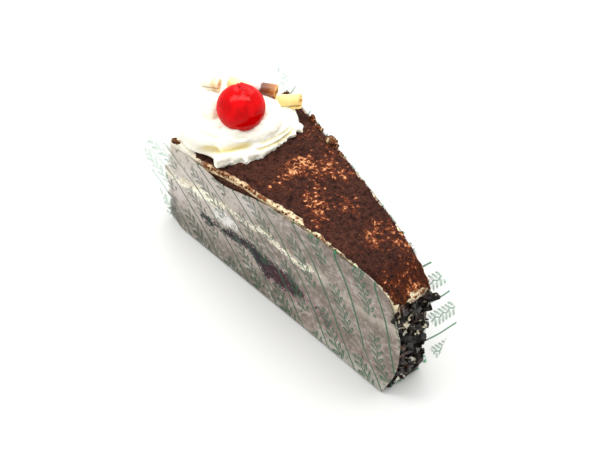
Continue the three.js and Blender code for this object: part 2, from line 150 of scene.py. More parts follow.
LEFT_EDGE = [
    (-74, 40.6), (-58, 41.8), (-46, 43.6), (-38, 43.9), (-32, 42.9), (-27, 43.2), (-20, 45.4),
    (-12, 48.4), (-4, 50.3), (7, 51.4), (22, 53.2), (36, 54), (46, 53.8), (54, 50.4), (60, 45),
]
RIGHT_EDGE = [
    (-74, 49), (-52, 52), (-44, 51.4), (-38, 50.2), (-30, 50.2), (-20, 51), (0, 52.4), (30, 53.6),
    (60, 52), (66, 49.4), (70, 46),
]
LEFT_RIM_END = [(0, -63), (16, -66), (38, -72), (48, -69)]
RIGHT_RIM_END = [(0, -63), (16, -65), (38, -69), (48, -67)]
LEFT_FAR_END = [(0, 58), (10, 60.4), (22, 62), (32, 61.8), (40, 60.4), (46, 57.6), (52, 52)]
RIGHT_FAR_END = [(0, 57.6), (8, 62), (20, 64.4), (32, 67), (42, 69.6), (48, 68), (53, 62)]
FOLD_RADIUS = 1
FOLD_LENGTH = 1.6  # of the print round a fold
WALL_HEIGHT = 50  # over which a wall's rows are spread to read its slanting ends
LEFT_FLARE = 0.4
RIGHT_FLARE = 4.2
RIM_FLARE = 1.4
LEFT_FOOT = 2.1
RIGHT_FOOT = 1.2
FOOT_HEIGHT = 12

# What clings to the inside of the film: the height and the half thickness of each smear along the
# slice, as (x, value)
JUICE_HEIGHT = [
    (-46, 15.2), (-36, 16), (-28, 17.4), (-22, 18.6), (-15, 19), (-10, 17.6), (-4, 15.6), (8, 15.6),
    (14, 15.6), (20, 15.4), (26, 12), (32, 9),
]
JUICE_HALF = [
    (-48, -1.5), (-42, 0.8), (-37, 1.8), (-31, 1), (-26, 2.2), (-20, 2.2), (-15, 2.6), (-10, 4),
    (-5, 5.2), (2, 5.4), (8, 4.8), (12, 3), (16, 0.2), (20, -0.2), (26, -0.1), (31, -2),
]
MILK_HEIGHT = [
    (-62, 26), (-54, 25.6), (-46, 28), (-40, 29.2), (-34, 29), (-30, 31), (-22, 32), (-14, 32.4),
    (-7, 34.2), (0, 33.4), (8, 32.4), (14, 32.6), (20, 34.4), (30, 34), (42, 33.4), (50, 34.4),
    (60, 36),
]
MILK_HALF = [
    (-66, 0), (-58, 1.4), (-48, 2.2), (-40, 3), (-34, 2.8), (-30, 1.5), (-22, 1.2), (-14, 1.5),
    (0, 1.6), (8, 1.4), (14, 1.9), (19, 1.2), (23, -0.4), (60, -1),
]

# The printed lines: the number of each by where it crosses the wall at a height of 20, and how far
# the lines that cross there at x have leant by other heights, as (height, lean)
PRINT_LINES = [
    (-239, -18), (-188, -15), (-120, -11), (-86, -9), (-69, -8), (-52.6, -7), (-33.7, -6),
    (-15.8, -5), (0.4, -4), (15.9, -3), (29.8, -2), (43.9, -1), (59, 0), (74, 1), (89, 2), (104, 3),
]
PRINT_LEANS = [
    (-34, [(0, -21), (2, -18.1), (10, -8.7), (20, 0), (30, 10.9), (40, 27.3), (50, 38)]),
    (16, [(0, -15.5), (2, -12.6), (10, -5.7), (20, 0), (30, 7.9), (40, 15.7), (50, 27.9)]),
    (44, [(0, -14.5), (2, -12.1), (10, -4), (20, 0), (30, 3.9), (40, 8.3), (50, 14.9)]),
]
PRINT_SLANT = 0.6  # on the floor and the far wall
PRINT_ROUNDS = 6  # in which the place where a line crosses settles
PRINT_PROBE = 0.2  # the step over which its slope is measured


# ---------------------------------------------------------------- shared shape functions


def lerp(low, high, share):
    return low + (high - low) * share


def smooth(value, low, high):
    """Rises smoothly from 0 at low to 1 at high."""
    share = min(1, max(0, (value - low) / (high - low)))
    return share * share * (3 - 2 * share)


def bell(away, width):
    """1 at no distance, about a third at this width and near 0 at twice the width."""
    return math.exp(-((away / width) ** 2))


def line(points):
    """A smooth curve through (place, value) pairs, level past its two ends."""
    places = [place for place, _ in points]
    values = [value for _, value in points]
    slopes = [(b[1] - a[1]) / (b[0] - a[0]) for a, b in zip(points, points[1:])]
    # At each point the curve runs at the mean of the slopes on its two sides
    slants = [(before + after) / 2 for before, after in zip(slopes[:1] + slopes, slopes + slopes[-1:])]

    def at(place):
        if place <= places[0]:
            return values[0]
        if place >= places[-1]:
            return values[-1]
        i = bisect.bisect_right(places, place) - 1
        run = places[i + 1] - places[i]
        done = (place - places[i]) / run
        left = 1 - done
        bend = run * done * left * (left * slants[i] - done * slants[i + 1])
        return lerp(values[i], values[i + 1], done * done * (3 - 2 * done)) + bend

    return at


def path(points, closed=False):
    """A smooth route through points, as a function of the share of the way along it."""
    rows = [Vector(p) for p in points]
    count = len(rows) if closed else len(rows) - 1

    def at(share):
        place = (share % 1 if closed else min(1, max(0, share))) * count
        i = min(int(place), count - 1)
        p = place - i
        if closed:
            a, b, c, d = (rows[(i + k) % count] for k in (-1, 0, 1, 2))
        else:
            b, c = rows[i], rows[i + 1]
            a = rows[i - 1] if i > 0 else 2 * b - c
            d = rows[i + 2] if i + 2 <= count else 2 * c - b
        return b + 0.5 * p * ((c - a) + p * (2 * a - 5 * b + 4 * c - d + p * (3 * (b - c) + d - a)))

    return at


COAT_FROM = -LENGTH / 2
COAT_TO = LENGTH / 2 - SHARD_DEPTH
CAKE_FROM = COAT_FROM + COAT_RIM
CAKE_TO = COAT_TO - COAT_END
CAKE_LENGTH = CAKE_TO - CAKE_FROM

top_line = line(TOP_LINE)
coat_top = line(COAT_TOP)
filling_height = line(FILLING_HEIGHT)
filling_thickness = line(FILLING_THICKNESS)
cream_height = line(CREAM_HEIGHT)
cream_thickness = line(CREAM_THICKNESS)


def half_width(x):
    """Half of the slice's width at x, outside the film."""
    return lerp(RIM_WIDTH / 2, END_WIDTH / 2, (x + LENGTH / 2) / LENGTH)


def cake_half_width(x):
    return half_width(x) - FILM - GAP


def top_height(x, across):
    """Height of the dusted top, across from -1 at one cut face to 1 at the other."""
    sag = CREAM_SAG * bell(x - CREAM_SAG_AT, CREAM_SAG_LENGTH)
    return top_line(x) - TOP_EDGE_DROP * across**6 - sag * ((1 - across) / 2) ** 2


def bulge(x, across):
    """How far the middle of the slice is shifted along, from the round rim to the narrow end."""
    share = min(1, max(0, (x - COAT_FROM) / (COAT_TO - COAT_FROM)))
    return (1 - across**2) * lerp(-RIM_BULGE, END_BULGE, share)


def waver(x):
    return 0.35 * math.sin(x * 0.31) + 0.25 * math.sin(x * 0.67 + 1)


def sway(across):
    return 0.5 * math.sin(across * 2.6 + 0.7)


def filling_face(height, thickness, face):
    """The lower (-1) or upper (1) face of a filling."""
    return lambda x, across: (
        height(x)
        + waver(x)
        + sway(across)
        + face * max(0, thickness(x)) / 2 * (1 + 0.3 * waver(x * 1.6 + 9 * face))
    )


under_filling = filling_face(filling_height, filling_thickness, -1)
over_filling = filling_face(filling_height, filling_thickness, 1)
under_cream = filling_face(cream_height, cream_thickness, -1)
over_cream = filling_face(cream_height, cream_thickness, 1)


def under_coat(x, across):
    return top_height(x, across) - coat_top(x)


def nearest(points, spot):
    """(distance from spot to the broken line through points, share of the way along it)."""
    best = (math.inf, 0)
    for i, (start, stop) in enumerate(zip(points, points[1:])):
        start, run = Vector(start), Vector(stop) - Vector(start)
        share = min(1, max(0, (spot - start).dot(run) / run.length_squared))
        best = min(best, ((spot - start - run * share).length, (i + share) / (len(points) - 1)))
    return best


def grain(point, size, seed=0.0):
    """Noise from -1 to 1 with features of this size in millimetres."""
    return noise.noise(Vector((point[0] / size + seed, point[1] / size - seed, point[2] / size + 0.5 * seed)))


# ---------------------------------------------------------------- mesh helpers


def block(columns, rows, layers, place, marks=None):
    """A box of quads between -0.5 and 0.5, cut into a grid, with every vertex moved by place(x, y, z).

    marks holds the kinds of attribute by name, whose values place() returns after the point.
    """
    bm = bmesh.new()
    bmesh.ops.create_cube(bm, size=1)
    for axis, count in enumerate((columns, rows, layers)):
        along = [e for e in bm.edges if abs(e.verts[0].co[axis] - e.verts[1].co[axis]) > 0.5]
        if count > 1:
            bmesh.ops.subdivide_edges(bm, edges=along, cuts=count - 1, use_grid_fill=True)
    kept = [getattr(bm.verts.layers, kind).new(name) for name, kind in (marks or {}).items()]
    for vert in bm.verts:
        if kept:
            vert.co, *values = place(*vert.co)
            for mark, value in zip(kept, values):
                vert[mark] = value
        else:
            vert.co = place(*vert.co)
    return bm


def roughen(bm, amount):
    """Moves every vertex along its normal by amount(point, normal), in millimetres."""
    bm.normal_update()
    moves = [amount(v.co, v.normal) * v.normal for v in bm.verts]
    for vert, move in zip(bm.verts, moves):
        vert.co += move


def soften(bm, passes):
    """Smooths the whole mesh this many times."""
    for _ in range(passes):
        bmesh.ops.smooth_vert(
            bm, verts=bm.verts, factor=0.5, use_axis_x=True, use_axis_y=True, use_axis_z=True
        )


def keep_inside(vert, room):
    """Moves a vertex back to this distance from the middle of the slice, if it is farther out."""
    vert.co.y = min(room, max(-room, vert.co.y))


def add_mesh(bm, other):
    """Adds another bmesh's geometry to bm, and frees it."""
    mesh = bpy.data.meshes.new("part")
    other.to_mesh(mesh)
    other.free()
    bm.from_mesh(mesh)
    bpy.data.meshes.remove(mesh)


def fuse(bm, voxel):
    """One skin of even quads, this fine in millimetres, round everything in bm."""
    mesh = bpy.data.meshes.new("fusing")
    bm.to_mesh(mesh)
    bm.free()
    obj = bpy.data.objects.new("fusing", mesh)
    bpy.context.collection.objects.link(obj)
    remesh = obj.modifiers.new("skin", "REMESH")
    remesh.mode = "VOXEL"
    remesh.voxel_size = voxel
    fused = obj.evaluated_get(bpy.context.evaluated_depsgraph_get()).to_mesh()
    result = bmesh.new()
    result.from_mesh(fused)
    bpy.data.objects.remove(obj)
    bpy.data.meshes.remove(mesh)
    return result


def finish_piece(name, bm, material, replaced=(), crisp=None):
    """Puts a bmesh in millimetres into the scene as a finished piece.

    crisp is the angle in radians past which an edge stays sharp.
    """
    bmesh.ops.scale(bm, vec=(MM, MM, MM), verts=bm.verts)
    bm.normal_update()
    for face in bm.faces:
        face.smooth = True
    if crisp is not None:
        for edge in bm.edges:
            edge.smooth = not (edge.is_manifold and edge.calc_face_angle(0) > crisp)
    mesh = bpy.data.meshes.new(name)
    bm.to_mesh(mesh)
    bm.free()
    obj = bpy.data.objects.new(name, mesh)
    bpy.context.scene.collection.objects.link(obj)
    mesh.materials.append(material)
    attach(obj, "root")
    if replaced:
        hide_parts(*replaced)


# ---------------------------------------------------------------- material helpers


def srgb(red, green, blue):
    """The scene-linear colour of an 8-bit screen colour."""
    shares = (red / 255, green / 255, blue / 255)
    return tuple(c / 12.92 if c <= 0.04045 else ((c + 0.055) / 1.055) ** 2.4 for c in shares)


class Value:
    """A node's output that takes part in Python arithmetic by adding Math nodes."""

    def __init__(self, finish, socket):
        self.finish, self.socket = finish, socket

    def math(self, operation, *terms):
        return self.finish.node("Math", {"operation": operation}, dict(enumerate(terms)))

    def __add__(self, other):
        return self.math("ADD", self, other)

    def __sub__(self, other):
        return self.math("SUBTRACT", self, other)

    def __rsub__(self, other):
        return self.math("SUBTRACT", other, self)

    def __mul__(self, other):
        return self.math("MULTIPLY", self, other)

    def __truediv__(self, other):
        return self.math("DIVIDE", self, other)

    def __abs__(self):
        return self.math("ABSOLUTE", self)

    __radd__ = __add__
    __rmul__ = __mul__

    def least(self, other):
        return self.math("MINIMUM", self, other)

    def most(self, other):
        return self.math("MAXIMUM", self, other)

    def sine(self):
        return self.math("SINE", self)

    def fraction(self):
        return self.math("FRACT", self)

    def floor(self):
        return self.math("FLOOR", self)

    def ridge(self, level=0.5):
        """1 where the value is at this level, and less on both sides of it."""
        return 1 - abs(self - level) * 2

    def rise(self, low, high):
        """A smooth step from 0 at low to 1 at high."""
        ends = {"From Min": low, "From Max": high}
        return self.finish.node("MapRange", {"interpolation_type": "SMOOTHSTEP"}, {"Value": self, **ends})

    def output(self, name):
        """Another output of the same node."""
        return Value(self.finish, self.socket.node.outputs[name])


class Finish:
    """A material with one Principled surface, and the few nodes that paint it."""

    def __init__(self, name, **constants):
        self.material = bpy.data.materials.new(name)
        self.material.use_nodes = True
        self.tree = self.material.node_tree
        self.surface = self.tree.nodes["Principled BSDF"]
        for key, value in constants.items():
            self.feed(self.surface.inputs[key.replace("_", " ")], value)

    def feed(self, socket, value):
        if isinstance(value, Value):
            self.tree.links.new(value.socket, socket)
        elif socket.type == "RGBA" and len(value) == 3:
            socket.default_value = (*value, 1)
        else:
            socket.default_value = value

    def node(self, kind, settings=None, sockets=None, output=0):
        """Adds a node: its settings are set first, and then the values or links of its sockets."""
        made = self.tree.nodes.new("ShaderNode" + kind)
        for key, value in (settings or {}).items():
            setattr(made, key, value)
        for key, value in (sockets or {}).items():
            self.feed(made.inputs[key], value)
        return Value(self, made.outputs[output])

    def place(self):
        """Where a point of the piece is, in millimetres."""
        here = self.node("TexCoord", output="Object")
        return self.node("VectorMath", {"operation": "SCALE"}, {0: here, "Scale": 1 / MM})

    def stretched(self, vector, factors):
        return self.node("VectorMath", {"operation": "MULTIPLY"}, {0: vector, 1: factors})

    def parts(self, vector):
        split = self.node("SeparateXYZ", None, {0: vector})
        return split, split.output("Y"), split.output("Z")

    def attribute(self, name, output="Fac"):
        return self.node("Attribute", {"attribute_name": name}, None, output)

    def noise(self, vector, scale, detail=2.0, roughness=0.5, distortion=0.0):
        grain = {"Scale": scale, "Detail": detail, "Roughness": roughness, "Distortion": distortion}
        return self.node("TexNoise", None, {"Vector": vector, **grain})

    def cells(self, vector, scale):
        return self.node("TexVoronoi", None, {"Vector": vector, "Scale": scale}, "Distance")

    def near(self, vector, point, radius):
        """1 at a point of the piece, falling smoothly to 0 at this radius."""
        away = self.node("VectorMath", {"operation": "DISTANCE"}, {0: vector, 1: point}, "Value")
        return away.rise(radius, 0)

    def mix(self, share, low, high):
        """The colour low where share is 0 and high where it is 1."""
        # A Mix node's colours are its inputs 6 and 7 and its output 2
        return self.node("Mix", {"data_type": "RGBA"}, {0: share, 6: low, 7: high}, 2)

    def over(self, ground, *coats):
        """The colour ground with coats laid over it in turn, each as (share, colour)."""
        for share, coat in coats:
            ground = self.mix(share, ground, coat)
        return ground

    def bump(self, height, distance):
        """Raises the surface by height, up to this distance in millimetres."""
        raised = self.node("Bump", None, {"Height": height, "Distance": distance * MM})
        self.feed(self.surface.inputs["Normal"], raised)

    def paint(self, name, value):
        self.feed(self.surface.inputs[name], value)


# ---------------------------------------------------------------- settings


def colour(name, description, default):
    return bpy.props.FloatVectorProperty(
        name=name, description=description, default=default, size=3, min=0, max=1, subtype="COLOR"
    )


def length(name, description, millimetres, least=0.0):
    return bpy.props.FloatProperty(
        name=name,
        description=description,
        default=millimetres * MM,
        min=least * MM,
        unit="LENGTH",
        precision=5,
    )


def angle(name, description, degrees):
    return bpy.props.FloatProperty(
        name=name, description=description, default=math.radians(degrees), subtype="ANGLE"
    )


def strength(name, description, default, unit="NONE"):
    return bpy.props.FloatProperty(name=name, description=description, default=default, min=0, unit=unit)


class CakeSizes(bpy.types.PropertyGroup):
    crumb_depth: length("Crumb Depth", "Depth of the pores in the sponge", 0.55)
    dust_grain: length("Dust Grain", "Height of the lumps in the cocoa", 0.34)
    rosette_grid: length("Rosette Grid", "Size of the faces of the piped cream", 0.5, 0.2)
    cherry_radius: length("Cherry Radius", "Radius of the cherry", CHERRY_RADIUS, 1)
    curl_sheet: length("Curl Sheet", "Thickness of the rolled chocolate", CURL_SHEET, 0.2)
    film_thickness: length("Film Thickness", "Thickness of the clear film", FILM, 0.05)
    film_ripple: length("Film Ripple", "Depth of the waves in the film", 0.35)


class CakeColours(bpy.types.PropertyGroup):
    sponge: colour("Sponge", "Chocolate sponge", srgb(84, 46, 28))
    # Sponge Pore is painted shade: the darker brown laid in the sponge's pores, where its bump is low
    sponge_pore_shade: colour("Sponge Pore", "Deep pores of the sponge", srgb(32, 16, 11))
    filling: colour("Filling", "Cherry filling", srgb(66, 18, 28))
    cream: colour("Cream", "Whipped cream", srgb(252, 248, 231))
    # Cream Crease is painted shade, laid yellow in the cream's folds and hollows
    crease_shade: colour("Cream Crease", "Deep folds of the cream", srgb(238, 223, 158))
    cut_cream: colour("Cut Cream", "Cream smeared with crumbs at the cut edge", srgb(232, 206, 164))
    cocoa: colour("Cocoa", "Moist cocoa", srgb(60, 36, 30))
    # Light Cocoa is loose cocoa and painted highlight on the crests of the lumps; Dark Cocoa is painted shade
    # in their hollows
    loose_cocoa_and_highlight: colour("Light Cocoa", "Loose cocoa on top", srgb(102, 62, 48))
    cocoa_hollow_shade: colour("Dark Cocoa", "Hollows in the cocoa", srgb(30, 17, 14))
    cocoa_rust: colour("Thin Cocoa", "Cocoa where the cream shines through", srgb(98, 45, 24))
    wisp: colour("Wisps", "Cream that shows between the cocoa", srgb(230, 168, 118))
    shard: colour("Shards", "Dark chocolate shards", srgb(16, 10, 8))
    cherry: colour("Cherry", "Candied cherry", srgb(214, 0, 6))
    pale_chocolate: colour("Pale Chocolate", "White chocolate of the curls", srgb(246, 222, 150))
    milk_chocolate: colour("Milk Chocolate", "Dark bands of the curls", srgb(122, 66, 34))
    haze: colour("Film Haze", "Fog inside the film", srgb(139, 124, 111))
    print: colour("Print", "Green print on the film", srgb(22, 92, 60))


class CakeStage(bpy.types.PropertyGroup):
    azimuth: angle("Azimuth", "Camera's turn round the slice", 53.35)
    elevation: angle("Elevation", "Camera's height over the floor", 48.16)
    roll: angle("Roll", "Camera's tilt about its own axis", 1.55)
    distance: length("Distance", "Camera's distance from the point that it aims at", 512.7, 10)
    lens: bpy.props.FloatProperty(
        name="Focal Length", description="Camera's focal length", default=74.74, min=1, unit="CAMERA"
    )
    sky: strength("Sky", "Strength of the white surroundings", 0.85)
    ceiling: strength("Ceiling Light", "Power of the light overhead", 7, "POWER")
    side: strength("Side Light", "Power of the light on the right", 4, "POWER")
    floor: colour("Floor", "Plain pale floor", srgb(215, 215, 213))


class CakeSettings(bpy.types.PropertyGroup):
    sizes: bpy.props.PointerProperty(
        name="Sizes", description="Sizes of the slice's detail", type=CakeSizes
    )
    colours: bpy.props.PointerProperty(
        name="Colours", description="Colours of the slice", type=CakeColours
    )
    stage: bpy.props.PointerProperty(
        name="Stage", description="Floor, lights and camera", type=CakeStage
    )


# ---------------------------------------------------------------- finishes


def sponge_finish(colours):
    finish = Finish("chocolate_sponge", Roughness=0.95, Specular_IOR_Level=0.25)
    at = finish.place()
    pores = finish.cells(at, 0.75).rise(0.25, 0.75)
    crumb = finish.noise(at, 1.6, 4, 0.7)
    # Painted shade: the pore colour darkens the crumb where its bump sinks; a lighter brown sits on the
    # raised cell walls
    tone = finish.over(
        colours.sponge_pore_shade,
        (crumb.rise(0.35, 0.7), colours.sponge),
        (pores * 0.5, srgb(112, 66, 40)),
    )
    finish.paint("Base Color", tone)
    finish.bump(crumb + pores * 0.6, 0.7)
    return finish.material


def crumb_finish(colours):
    finish = Finish("loose_crumb", Roughness=0.95, Specular_IOR_Level=0.1)
    at = finish.place()
    crumb = finish.noise(at, 1.2, 4, 0.7)
    # Painted shade: the crumbs are darker brown where their bump is low
    tone = finish.over(
        colours.sponge_pore_shade,
        (crumb.rise(0.38, 0.6), srgb(122, 72, 42)),
        (finish.noise(at, 0.4, 3, 0.6).rise(0.56, 0.66), colours.cut_cream),
    )
    finish.paint("Base Color", tone)
    finish.bump(crumb, 0.6)
    return finish.material


def filling_finish(colours):
    finish = Finish("cherry_filling", Roughness=0.28, Coat_Weight=0.6, Coat_Roughness=0.12)
    at = finish.place()
    pulp = finish.noise(at, 0.5, 4, 0.65)
    tone = finish.over(
        srgb(38, 12, 24),
        (pulp.rise(0.35, 0.65), colours.filling),
        (finish.noise(at, 1.3, 3).rise(0.58, 0.72), srgb(112, 22, 38)),
    )
    finish.paint("Base Color", tone)
    finish.bump(pulp, 0.8)
    return finish.material


def cream_finish(colours, name="whipped_cream", specks=0.0):
    """Cream with painted shade that yellows it in its folds and hollows, and dark crumbs this strong in it.
    """
    finish = Finish(
        name,
        Roughness=0.5,
        Subsurface_Weight=0.25,
        Subsurface_Radius=(1, 0.8, 0.5),
        Subsurface_Scale=0.002,
    )
    at = finish.place()
    # Painted shade: the fold attribute yellows the cream where it lies in a hollow or a fold
    tone = finish.mix(finish.attribute("fold").rise(0.05, 0.95), colours.cream, colours.crease_shade)
    if specks:
        tone = finish.mix(finish.noise(at, 0.9, 3, 0.6).rise(0.60, 0.68) * specks, tone, srgb(104, 62, 38))
    finish.paint("Base Color", tone)
    finish.paint("Roughness", 0.42 + finish.noise(at, 0.7, 2) * 0.2)
    finish.bump(finish.noise(at, 0.55, 4, 0.6), 0.5)
    return finish.material


# Where cream shows through the cocoa: point, reach and strength
WISP_SPOTS = [
    ((-13, 0, 51.6), 10, 0.7), ((-5, 7, 52), 10, 0.65), ((-10, -9, 51), 8, 0.5),
    ((-15, 6, 51), 8, 0.5), ((3, -4, 52.6), 9, 0.7), ((10, -7, 53), 8, 0.5),
    ((0, 13, 52.5), 9, 0.4), ((13, 4, 53.4), 10, 0.35), ((-14, 17, 50.5), 10, 0.5),
    ((-28, 15, 49), 9, 0.35), ((16, -10, 53), 8, 0.35), ((27, 5, 54.3), 6, 0.6),
    ((32, 1, 54.2), 7, 0.6), ((34, 11, 54), 10, 0.55), ((41, 7, 54), 8, 0.4),
    ((47, 7, 52.4), 6, 0.4), ((52, 0, 51), 10, 0.44), ((57, 2, 49.6), 6, 0.5),
    ((50, -7, 51.6), 6, 0.4),
]


def coat_finish(colours):
    finish = Finish("cocoa_dusted_cream", Roughness=0.95, Specular_IOR_Level=0.05)
    at = finish.place()
    x = finish.parts(at)[0]
    patches = finish.noise(at, 0.08, 3, 0.6)
    lumps = finish.noise(at, 0.5, 4, 0.7)
    grains = finish.noise(at, 1.2, 3, 0.7)
    broken = finish.noise(at, 0.55, 3, 0.65)

    # Threads of cream that the cocoa leaves bare, in clusters
    clusters = finish.noise(at, 0.16, 2).rise(0.55, 0.75) * 0.3
    for point, reach, strong in WISP_SPOTS:
        clusters = finish.near(at, point, reach) * strong + clusters
    clusters = clusters.least(1)
    crossing = finish.noise(finish.stretched(at, (1, 1.5, 1)), 0.25, 1.5, 0.6, 0.9)
    thread = finish.noise(at, 0.19, 1.5, 0.6, 0.9).ridge().most(crossing.ridge(0.53))
    thread = thread - (grains - 0.5) * 0.12
    shows = clusters * 0.32 + broken * 0.9

    # Cocoa, rusty where it lies thin round the threads and at the narrow end's tip
    rust = clusters.rise(0.1, 0.9) * (lumps * 0.5 + broken * 0.5).rise(0.42, 0.6) * 0.6
    fine = grains.rise(0.6, 0.68) * broken.rise(0.46, 0.6)
    dusty = finish.over(
        colours.cocoa,
        (patches.rise(0.4, 0.62), srgb(70, 42, 34)),
        # Painted shade darkens the hollows of the lumps and grains, and painted highlight with loose cocoa
        # lightens their crests
        (lumps.rise(0.5, 0.36) * 0.85, colours.cocoa_hollow_shade),
        (lumps.rise(0.54, 0.68) * 0.45, colours.loose_cocoa_and_highlight),
        (grains.rise(0.52, 0.66) * 0.3, colours.loose_cocoa_and_highlight),
        (grains.rise(0.47, 0.36) * 0.7, colours.cocoa_hollow_shade),
        (rust, colours.cocoa_rust),
        (x.rise(40, 52) * lumps.rise(0.36, 0.56) * 0.9, srgb(58, 26, 14)),
        (x.rise(53, 57) * lumps.rise(0.48, 0.6) * 0.45, srgb(150, 88, 48)),
        (fine * (0.14 + clusters.rise(0, 0.5) * 0.5), srgb(142, 74, 44)),
        (thread.rise(0.85, 0.95) * shows.rise(0.55, 0.72), srgb(130, 62, 34)),
        (thread.rise(0.935, 0.975) * shows.rise(0.63, 0.76), colours.wisp),
    )

    # The cut edge: cream streaked with cocoa and crumbs, paler towards the narrow end
    smears = finish.noise(finish.stretched(at, (0.6, 0.6, 1.2)), 0.34, 4, 0.65)
    crumbs = finish.noise(at, 0.75, 5, 0.75)
    bare = finish.over(
        srgb(132, 80, 48),
        (smears.rise(0.42, 0.56), colours.cut_cream),
        (x.rise(-12, 16) * smears.rise(0.38, 0.5) * 0.8, srgb(236, 224, 188)),
        (finish.noise(at, 0.8, 3, 0.7).rise(0.57, 0.66), srgb(84, 48, 30)),
        (finish.attribute("clean") * crumbs.rise(0.7, 0.6), colours.cream),
    )
    dust = finish.attribute("dust") + (crumbs - 0.5) * 1.6 + (smears - 0.5) * 1.6
    finish.paint("Base Color", finish.mix(dust.rise(0.3, 0.5), bare, dusty))
    finish.bump(lumps + grains * 0.8, 0.9)
    return finish.material


def shard_finish(colours):
    finish = Finish("dark_chocolate", Roughness=0.4, Specular_IOR_Level=0.1, Coat_Roughness=0.25)
    at = finish.place()
    z = finish.parts(at)[2]
    daubs = (finish.noise(at, 0.19, 3, 0.6) + z.rise(14, 36) * z.rise(46, 40) * 0.07).rise(0.67, 0.7)
    tone = finish.over(
        colours.shard,
        (finish.noise(at, 0.9, 4, 0.7).rise(0.45, 0.75), srgb(38, 27, 23)),
        (finish.noise(at, 0.2, 2).rise(0.52, 0.64) * 0.7, srgb(56, 42, 40)),
        (finish.noise(at, 0.24, 2, 0.5, 0.6).rise(0.6, 0.68) * 0.8, srgb(84, 50, 32)),
        (daubs * 0.95, srgb(232, 222, 192)),
    )
    finish.paint("Base Color", tone)
    finish.paint("Coat Weight", finish.noise(at, 0.4, 2, 0.6).rise(0.44, 0.6) * 0.8)
    finish.bump(finish.noise(at, 1.4, 4, 0.7), 0.35)
    return finish.material


def cherry_finish(colours):
    finish = Finish(
        "candied_cherry",
        Roughness=0.35,
        Specular_IOR_Level=0.0,
        Coat_Roughness=0.06,
        Subsurface_Weight=0.3,
        Subsurface_Radius=(1, 0.03, 0.03),
        Subsurface_Scale=0.003,
    )
    at = finish.place()
    tone = finish.over(
        srgb(184, 0, 2),
        (finish.noise(at, 0.2, 3, 0.6).rise(0.35, 0.7), colours.cherry),
        (finish.noise(at, 1.1, 2, 0.5).rise(0.7, 0.76) * 0.5, srgb(240, 84, 88)),
        # Painted shade: the groove that the stem left is darker red
        (finish.attribute("hollow_shade").rise(0.2, 1.0) * 0.8, srgb(150, 0, 4)),
    )
    finish.paint("Base Color", tone)
    finish.paint("Coat Weight", 0.16 + finish.noise(at, 0.5, 3, 0.6) * 0.2)
    finish.bump(finish.noise(at, 0.4, 3, 0.5), 0.15)
    return finish.material


def curl_finish(name, bands):
    """Marbled chocolate, with painted shade along the spiral's gaps at the roll's ends. bands are (share of
    the way along, colour) from one end of the roll on.
    """
    finish = Finish(
        name,
        Roughness=0.4,
        Subsurface_Weight=0.15,
        Subsurface_Radius=(1, 0.7, 0.4),
        Subsurface_Scale=0.002,
    )
    at = finish.place()
    along = finish.attribute("along") + (finish.noise(at, 0.35, 3, 0.6) - 0.5) * 0.22
    tone = bands[0][1]
    for (start, _), (stop, high) in zip(bands, bands[1:]):
        tone = finish.mix(along.rise(start, stop), tone, high)
    streaks = finish.noise(finish.stretched(at, (1, 1, 2.4)), 0.5, 3, 0.6, 0.6)
    tone = finish.over(
        tone,
        (streaks.rise(0.55, 0.75) * 0.3, srgb(222, 182, 112)),
        # Painted shade: darker orange where the sheets meet the roll's end faces, for the gaps of the spiral
        (finish.attribute("gap"), srgb(222, 168, 92)),
    )
    finish.paint("Base Color", tone)
    finish.bump(finish.noise(at, 0.7, 3, 0.5), 0.15)
    return finish.material


# The printed lines' half width and where their soft edge ends, as shares of the way to the next line
LINE_HALF = 0.02
LINE_EDGE = 0.034

# The printed sprig, in millimetres: the way from leaf to leaf, and each leaf as (off the stem, place on
# the way)
LEAF_STEP = 3.4
LEAF_LENGTH = 4.2
LEAF_WIDTH = 1.25
LEAF_LEAN = 0.62
LEAVES = [(1.5, 0.0), (-1.5, 0.5)]


def sprig(along, across):
    """1 on a running sprig with slender leaves on both sides of a wavy stem, and 0 beside it."""
    drawn = abs(across - (along * 0.9).sine() * 0.35).rise(0.36, 0.2)
    for side, start in LEAVES:
        up = math.copysign(LEAF_LEAN, side)
        ahead = math.sqrt(1 - up * up)
        step = ((along / LEAF_STEP + start).fraction() - 0.5) * LEAF_STEP
        beside = across - side
        lengthwise = (step * ahead + beside * up) / (LEAF_LENGTH / 2)
        crosswise = (beside * ahead - step * up) / (LEAF_WIDTH / 2)
        size = lengthwise * lengthwise + crosswise * crosswise
        vein = abs(crosswise).rise(0.1, 0.35).most(lengthwise.rise(0.1, 0.5))
        drawn = drawn.most(size.rise(1.2, 0.8) * vein)
    return drawn


